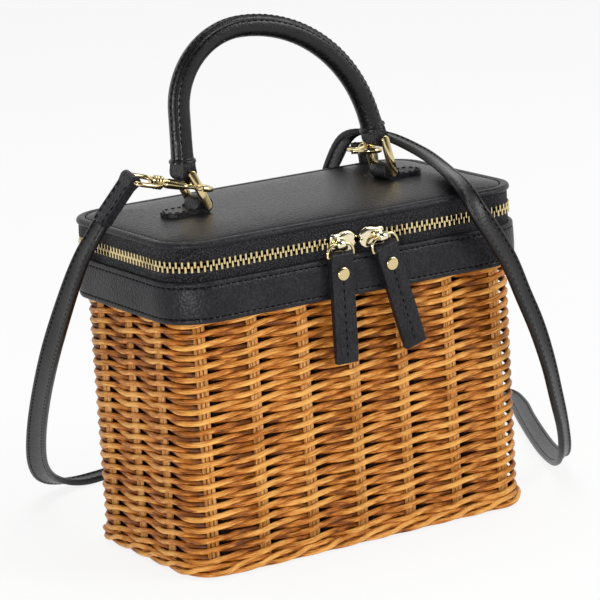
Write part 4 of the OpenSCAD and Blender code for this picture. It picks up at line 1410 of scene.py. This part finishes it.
@dataclass
class Pulls(Assembly):
    """Wire rings in the sliders' crowns, leather tabs and their rivets."""

    crowns: tuple[float, float] = (-12.4, 11.4)
    crown_y: float = -60.3
    tilts: tuple[float, float] = (0.0, -15.5)
    drop: float = 5.8
    tab_l: float = 52.0
    tab_w: float = 12.0
    tab_t: float = 3.0
    tab_fold: float = 2.3
    sewn: tuple[float, ...] = (13.0, 24.0, 36.0, 47.5)
    rivet_down: float = 8.4
    wire_r: float = 0.8
    wire_room: float = 0.3

    def build(self) -> None:
        """Make both pulls."""
        for (side, _), x, tilt in zip(SIDES, self.crowns, self.tilts):
            spot = Matrix.Translation((x, self.crown_y, self.plan.zip_z))
            hang = spot @ Matrix.Rotation(math.radians(tilt), 4, "Y")
            self.ring(side, hang)
            self.tab(side, hang)
            self.rivet(side, hang)

    def ring(self, side: str, hang: Matrix) -> None:
        """Bend a round wire from the crown to the tab.

        Args:
            side: Left or right.
            hang: Place of the crown's bore.
        """
        half = self.tab_w / 2 + self.wire_room + self.wire_r
        line = [(0.0, 0.05), (-2.6, 0.0), (-4.6, -0.35), (-6.2, -1.5), (-7.0, -3.3), (-half, -5.0),
                (-half + 0.6, -self.drop), (0.0, -self.drop)]
        points = [(x, 0.0, z) for x, z in line] + [(-x, 0.0, z) for x, z in reversed(line[1:-1])]
        path = [hang @ p for p in smooth_line(points, 4, True)]
        wire = tube(f"pull_wire_{side}", path, [(self.wire_r, self.wire_r)] * len(path), self.palette.gold,
                    True, hang.to_3x3() @ Vector((0, 1, 0)), 10)
        hand_over(wire, f"pull_ring_{side}", "gold_metal", f"pull_ring_{side}")

    def rivet(self, side: str, hang: Matrix) -> None:
        """Turn a rivet with a flat polished cap in front and a washer behind.

        Args:
            side: Left or right.
            hang: Place of the crown's bore.
        """
        face = self.tab_t / 2
        shape = ((-face - 0.6, 2.3), (-face - 0.5, 2.55), (-face - 0.05, 2.6), (-face, 1.5), (face, 1.5),
                 (face + 0.02, 3.1), (face + 0.3, 3.25), (face + 0.62, 3.2), (face + 0.85, 2.95),
                 (face + 0.95, 2.6), (face + 1.0, 1.4), (face + 1.01, 0.05))
        path = [hang @ Vector((0, -out, -self.drop - self.rivet_down)) for out, _ in shape]
        cap = tube(f"rivet_{side}_cap", path, [(r, r) for _, r in shape], self.palette.gold, sides=28)
        hand_over(cap, f"pull_tab_{side}", "gold_metal", f"rivet_{side}")

    def tab(self, side: str, hang: Matrix) -> None:
        """Fold a leather tab round the ring and sew it down its middle.

        Args:
            side: Left or right.
            hang: Place of the crown's bore.
        """
        place = hang @ Matrix.Translation((0, 0, -self.drop)) @ Matrix(
            ((0, 1, 0, 0), (0, 0, -1, 0), (-1, 0, 0, 0), (0, 0, 0, 1)))
        tab = self.shop.folded(f"pull_tab_{side}_leather", place, self.tab_fold, self.tab_l, self.tab_t,
                               self.tab_w, edge=0.55)
        hand_over(tab, f"pull_tab_{side}", "black_leather", f"pull_tab_{side}")
        front = place.to_3x3() @ UP
        frame = [(place @ Vector((x, 0, self.tab_t / 2 + 0.02)), front) for x in self.sewn]
        hand_over(self.shop.seam(f"pull_tab_{side}_seam", frame), f"pull_tab_{side}", "black_leather")


@dataclass
class Strap(Assembly):
    """Flat shoulder strap with its doubled ends, swivels and snap hooks."""

    width: float = 10.5
    thick: float = 3.4
    end_l: float = 25.0
    end_more: float = 0.8
    end_sewn: tuple[float, ...] = (5.0, 11.0, 17.0, 23.5)
    end_seam: float = 3.7
    run_seam: float = 3.5
    seam_rise: float = 0.42
    fold_r: float = 2.9
    jaw_r: float = 4.6
    jaw_wire: float = 1.5
    gate_edge: float = 0.3
    link_r: float = 1.2
    roll: dict[str, float] = field(default_factory=lambda: {"left": -12.0, "right": 0.0})
    lean: dict[str, float] = field(default_factory=lambda: {"left": 25.0, "right": 13.0})
    up_bar: dict[str, float] = field(default_factory=lambda: {"left": 10.5, "right": 9.5})
    bar_y: float = 8.6
    hook_back: float = 1.5
    far_bar: float = 39.0
    steps: int = 5
    crest: int = 37

    def places(self) -> dict[str, tuple[Matrix, Matrix]]:
        """Find where each hook and each doubled strap end lies.

        Returns:
            For left and right, the hook's place and the strap end's.
        """
        def turn(angle: float, axis: str) -> Matrix:
            """Turn by an angle in degrees about an axis."""
            return Matrix.Rotation(math.radians(angle), 4, axis)

        def on_ring(side: str, sign: float) -> Matrix:
            """Find the spot on a leaning ring's side bar that the hook holds."""
            lean, up = math.radians(self.lean[side]), self.up_bar[side]
            plan = self.plan
            return Matrix.Translation((sign * plan.ring_x - up * math.sin(lean), sign * self.bar_y,
                                       plan.pivot_z + up * math.cos(lean)))

        back = Matrix.Translation((-self.hook_back, 0, 0))
        out = Matrix.Translation((self.far_bar, 0, 0))
        left, right = (on_ring(side, sign) for side, sign in SIDES)
        left = left @ turn(14.7, "Y") @ turn(180, "Z") @ back
        right = right @ turn(64, "Z") @ turn(8, "Y") @ back
        return {"left": (left, left @ turn(self.roll["left"], "X") @ out @ turn(68, "Y")),
                "right": (right, right @ out @ turn(-8, "Z"))}

    def route(self) -> Frame:
        """Give the strap's points with the way that its flat face looks."""
        table = (
            (-108.7, -3.8, 167.9, -8, -1, 6), (-113, -2, 161, -8, -1, 5), (-117, 3, 151, -9, -1, 3),
            (-120, 14, 132, -9, -3, 2), (-119, 38, 101, -9, -5, 0), (-113, 66, 70, -9, -5, -1),
            (-104, 93, 42, -8, -6, -3), (-93, 115, 21, -5, -6, -7), (-79, 130, 8, -2, -3, -9),
            (-60, 137, 2, 0, 0, -9), (-36, 140, 2, 0, 0, -9), (10, 146, 2, 0, 0, -9),
            (75, 155, 2, 0, 0, -9), (130, 164, 2, 0, 0, -9), (168, 162, 2, 0, 0, -9),
            (195, 148, 2, 0, 0, -9), (205, 126, 2, 0, 0, -9), (198, 102, 2, 0, 0, -9),
            (183, 73, 2, 0, 0, -9), (167, 41, 2, 1, 0, -9), (152, 10, 3, 2, -1, -9),
            (139, -18, 7, 4, -3, -8), (128, -38, 18, 6, -6, -5), (119, -50, 35, 6, -7, -2),
            (110, -58, 54, 5, -8, -1), (102, -64, 73, 4, -8, 0), (94, -67, 93, 3, -9, 1),
            (86, -68, 111, 3, -9, 1), (79, -68, 128, 2, -9, 2), (71, -67, 143, 1, -9, 2),
            (64, -65, 155, 1, -9, 3), (62, -58, 165, 2, -6, 7), (65, -46, 168.5, 2, -3, 9),
            (72, -28, 169, 3, -2, 9), (79, -8, 170, 3, -1, 9), (82, 12, 173, 2, 0, 9),
            (78, 31, 178, 1, 1, 9), (70, 42, 181, 0, 2, 9), (66, 54, 177, -1, 8, 6),
            (64, 65, 163, -2, 9, 2), (62, 73, 147, -6, 7, 1), (61, 78, 131, -9, 3, 0),
            (66, 82, 117, -7, 1, -6), (81, 85, 110, 0, 0, -9), (96, 87, 117, 7, 0, -6),
            (101, 88, 131, 9, 1, 0), (100, 87, 147, 8, 4, 3), (97, 83, 158, 6, 5, 6),
            (92, 77, 165, 3, 3, 8), (86, 70, 168, 1, 1, 9), (81.2, 62.8, 169.2, 1, 1, 9))
        return [(Vector(row[:3]), Vector(row[3:])) for row in table]

    def line(self) -> list[tuple[Vector, Vector, Vector]]:
        """Draw one smooth curve through the route.

        Returns:
            Points with their directions and face directions.
        """
        route = self.route()
        last, per = len(route) - 1, self.steps
        out = []
        for n in range(last * per + 1):
            i = min(n // per, last - 1)
            u = n / per - i
            near = [route[min(last, max(0, i + k))] for k in (-1, 0, 1, 2)]
            a, b, c, d = (p for p, _ in near)
            way = ((c - a) + 2 * (2 * a - 5 * b + 4 * c - d) * u
                   + 3 * (3 * b - a - 3 * c + d) * u * u).normalized()
            face = curve_at(*(f for _, f in near), u)
            out.append((curve_at(a, b, c, d, u), way, (face - way * face.dot(way)).normalized()))
        return out

    def build(self) -> None:
        """Make the strap, its ends and its fittings."""
        on_strap = {}
        for (side, (hook, end)), run in zip(self.places().items(), ("shoulder_strap", "strap_bight")):
            tip = self.shop.folded(f"strap_end_{side}_leather", end, self.fold_r, self.end_l,
                                   self.thick + self.end_more, self.width, edge=0.7)
            hand_over(tip, f"swivel_{side}", "black_leather", f"strap_end_{side}")
            frames = []
            for y, z in self.four(self.end_seam):
                face = end.to_3x3() @ Vector((0, 0, z))
                frames.append([(end @ Vector((x, y, z * (self.thick / 2 + self.seam_rise))), face)
                               for x in self.end_sewn])
            sewn = self.shop.seams(f"strap_end_{side}_seam", frames)
            hand_over(sewn, f"swivel_{side}", "black_leather")
            cast = self.fittings(side, hook, hook @ Matrix.Rotation(math.radians(self.roll[side]), 4, "X"))
            on_strap[run] = [tip, sewn] + cast
        self.leather(on_strap)

    def four(self, across: float) -> list[tuple[float, float]]:
        """List the four seams, two on each face: how far across, and 1 or -1 for the face."""
        return [(x, face) for face in (1.0, -1.0) for x in (-across, across)]

    def fittings(self, side: str, hook: Matrix, swivel: Matrix) -> list[Piece]:
        """Cast one snap hook, its sprung bolt and its swivel link.

        Args:
            side: Left or right.
            hook: Place of the hook.
            swivel: Place of the swivel, turned about the hook's length.

        Returns:
            The three pieces.
        """
        gold, wire, jaw = self.palette.gold, self.jaw_wire, self.jaw_r
        bend = [(1.9, jaw, 0)] + [(jaw * math.cos(a), jaw * math.sin(a), 0)
                                  for a in (math.radians(90 + 18 * k) for k in range(11))]
        path = smooth_line(bend + [(4.0, -jaw, 0), (8.0, -jaw, 0), (11.5, -jaw, 0)], 3)
        jaws = tube(f"jaw_{side}", [hook @ p for p in path], [(wire, wire)] * len(path), gold,
                    side=hook.to_3x3() @ UP)
        shape = ((10.2, 5.2, 1.3), (10.6, 5.9, 1.8), (11.6, 6.2, 2.1), (13.5, 5.8, 2.3), (16.0, 4.3, 2.4),
                 (18.5, 3.1, 2.4), (20.0, 2.7, 2.2), (20.6, 2.2, 1.8), (21.0, 1.5, 1.5), (26.5, 1.5, 1.5),
                 (26.9, 2.6, 2.6), (28.0, 2.5, 2.5), (28.4, 1.6, 1.6))
        body = tube(f"body_{side}", [hook @ Vector((x, 0, 0)) for x, _, _ in shape],
                    [(w, h) for _, w, h in shape], gold, side=hook.to_3x3() @ Vector((0, 1, 0)), sides=20)
        turned = ((21.9, 2.2), (22.1, 3.0), (22.6, 3.4), (23.1, 3.3), (23.4, 2.8), (23.7, 3.3), (24.3, 3.4),
                  (24.9, 3.3), (25.2, 2.8), (25.5, 3.3), (26.0, 3.4), (26.5, 3.0), (26.7, 2.1))
        cast = join(f"hook_{side}_cast", [jaws, body])
        made = [hand_over(cast, f"hook_{side}", "gold_metal", f"hook_{side}")]
        gate = soften(f"gate_{side}", gold, self.gate_edge)
        made.append(hand_over(gate, f"gate_{side}", "gold_metal", f"gate_{side}"))
        barrel = tube(f"barrel_{side}", [swivel @ Vector((x, 0, 0)) for x, _ in turned],
                      [(r, r) for _, r in turned], gold, sides=18)
        half = ((24.3, 2.4), (25.0, 4.6), (27.6, 6.5), (31.5, 7.15), (35.5, 7.15), (38.0, 6.5),
                (self.far_bar, 5.0), (self.far_bar, 2.0))
        loop = [(x, y, 0.0) for x, y in half] + [(x, -y, 0.0) for x, y in reversed(half)]
        path = smooth_line(loop, 4, True)
        wires = tube(f"link_{side}", [swivel @ p for p in path], [(self.link_r, self.link_r)] * len(path),
                     gold, True, swivel.to_3x3() @ UP, 10)
        cast = join(f"swivel_{side}_cast", [barrel, wires])
        return made + [hand_over(cast, f"swivel_{side}", "gold_metal", f"swivel_{side}")]

    def leather(self, on_strap: dict[str, list[Piece]]) -> None:
        """Lay the strap along its route and sew it along both edges.

        It is made in two runs: the long run, and the bight that hangs behind the lid.

        Args:
            on_strap: Pieces that are on each run; not used.
        """
        w, h = self.width / 2, self.thick / 2
        half = [(w, -0.8), (w, 0.8), (w - 0.3, h - 0.25), (w - 0.9, h), (w - 1.5, h - 0.2), (2.9, h - 0.62)]
        section = half + [(-x, y) for x, y in reversed(half[1:])]
        section += [(x, -y) for x, y in [(-w, 0.7)] + [(-x, y) for x, y in half[2:]]]
        section += [(x, -y) for x, y in reversed(half[2:])]
        line = self.line()
        crest = self.crest * self.steps
        for name, run, held, loose in (("shoulder_strap", line[:crest + 1], 0.157, 0.020),
                                       ("strap_bight", line[crest:], 0.168, 0.135)):
            rings = [[p + way.cross(face) * x + face * y for x, y in section] for p, way, face in run]
            strap = sweep(f"{name}_leather", rings, self.palette.rolled, False, 60.0)
            deep = h - self.seam_rise
            lines = [[(p + way.cross(face) * x + face * y * deep, face * y) for p, way, face in run]
                     for x, y in self.four(self.run_seam)]
            sewn = self.shop.seams(f"{name}_seam", lines)
            for piece in (strap, sewn):
                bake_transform(piece)
                LOG.info("%s bends between lid and basket", piece.name)
            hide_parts("shoulder_strap")
            points = [p * MM for p, _, _ in run]
            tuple(points[0])
            length_of(points)


@dataclass
class Studio:
    """Pale floor, soft lights and the camera at the photograph's angle."""

    azimuth: float = -30.986
    elevation: float = 12.978
    roll: float = -0.062
    distance: float = 1591.9
    focal_px: float = 3235.0
    picture_px: float = 600.0
    sensor_mm: float = 36.0
    aim: tuple[float, float, float] = (0.0, 0.0, 100.0)
    side_shift: float = 0.019
    up_shift: float = 11.463
    room: float = 0.07
    light: float = 0.42
    floor_half: float = 9000.0
    floor_z: float = -0.6

    def build(self) -> None:
        """Set the floor, the world, the lamps and the camera."""
        self.floor()
        self.world()
        for name, spot, size, watts, target in (
                ("key_softbox", (-1.35, -1.25, 0.75), 0.6, 2.5, (0, 0, 0.12)),
                ("low_softbox", (-1.1, -1.05, 0.16), 0.2, 11.5, (0, 0, 0.14)),
                ("fill_softbox", (1.3, -1.5, 1.1), 1.0, 24.0, (0, 0, 0.1)),
                ("top_softbox", (0.1, 0.3, 1.9), 1.2, 14.0, (0, 0, 0.15))):
            lamp = bpy.data.lights.new(name, "AREA")
            lamp.shape, lamp.size, lamp.energy = "SQUARE", size, watts
            light = link(name, lamp)
            light.location = spot
            light.rotation_euler = (Vector(target) - Vector(spot)).to_track_quat("-Z", "Y").to_euler()
        self.camera()

    def floor(self) -> None:
        """Lay a wide white floor that keeps the bag's shadow."""
        size = self.floor_half
        corners = [(x * size, y * size, self.floor_z) for x, y in ((-1, -1), (1, -1), (1, 1), (-1, 1))]
        card = CardFinish().material("white_card")
        solid("floor_card", corners, [[0, 1, 2, 3]], card, turn=False)

    def world(self) -> None:
        """Surround the bag with even white light, darker behind the camera, which the metal shows."""
        world = bpy.data.worlds.new("white_studio")
        world.use_nodes = True
        tree = world.node_tree
        tree.nodes.clear()
        way = add(tree, "ShaderNodeTexCoord").outputs["Generated"]
        height = add(tree, "ShaderNodeSeparateXYZ", {0: way})
        high = add(tree, "ShaderNodeMapRange", {
            "Value": height.outputs["Z"], "From Min": 0.35, "From Max": 0.75,
            "To Min": 1.0, "To Max": 0.3})
        turn = math.radians(self.azimuth)
        front = add(tree, "ShaderNodeVectorMath", {0: way, 1: (math.sin(turn), -math.cos(turn), 0.0)},
                    operation="DOT_PRODUCT")
        near = add(tree, "ShaderNodeMapRange", {
            "Value": front.outputs["Value"], "From Min": 0.2, "From Max": 0.5,
            "To Min": 1.0, "To Max": self.room})
        white = add(tree, "ShaderNodeMath", {0: high, 1: near}, operation="MULTIPLY")
        level = add(tree, "ShaderNodeMapRange", {
            "Value": seen(tree), "To Min": self.light, "To Max": white})
        sky = add(tree, "ShaderNodeBackground", {"Color": (1, 1, 1, 1), "Strength": level})
        add(tree, "ShaderNodeOutputWorld", {"Surface": sky})
        bpy.context.scene.world = world

    def camera(self) -> None:
        """Stand the camera where the photograph was taken from."""
        az, el = math.radians(self.azimuth), math.radians(self.elevation)
        back = Vector((math.sin(az) * math.cos(el), -math.cos(az) * math.cos(el), math.sin(el)))
        right = (-back).cross(UP).normalized()
        up = right.cross(-back)
        spot = Vector(self.aim) + right * self.side_shift + up * self.up_shift + back * self.distance
        across = right * math.cos(self.roll) + up * math.sin(self.roll)
        above = up * math.cos(self.roll) - right * math.sin(self.roll)
        lens = bpy.data.cameras.new("photo_camera")
        lens.sensor_width = self.sensor_mm
        lens.lens = self.focal_px / self.picture_px * self.sensor_mm
        lens.clip_end = 100.0
        camera = link("photo_camera", lens)
        stand = Matrix((across, above, back)).transposed().to_4x4()
        camera.matrix_world = Matrix.Translation(spot * MM) @ stand
        bpy.context.scene.camera = camera
        bpy.context.scene.view_settings.view_transform = "Standard"


def main() -> None:
    """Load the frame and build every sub-assembly."""
    logging.basicConfig(level=logging.INFO, format="%(message)s")
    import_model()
    shop = Workshop()
    Studio().build()
    for assembly in (Strap, Basket, Zip, Lid, Handle, Pulls):
        assembly(shop).build()
    shop.clear()


if __name__ == "__main__":
    main()
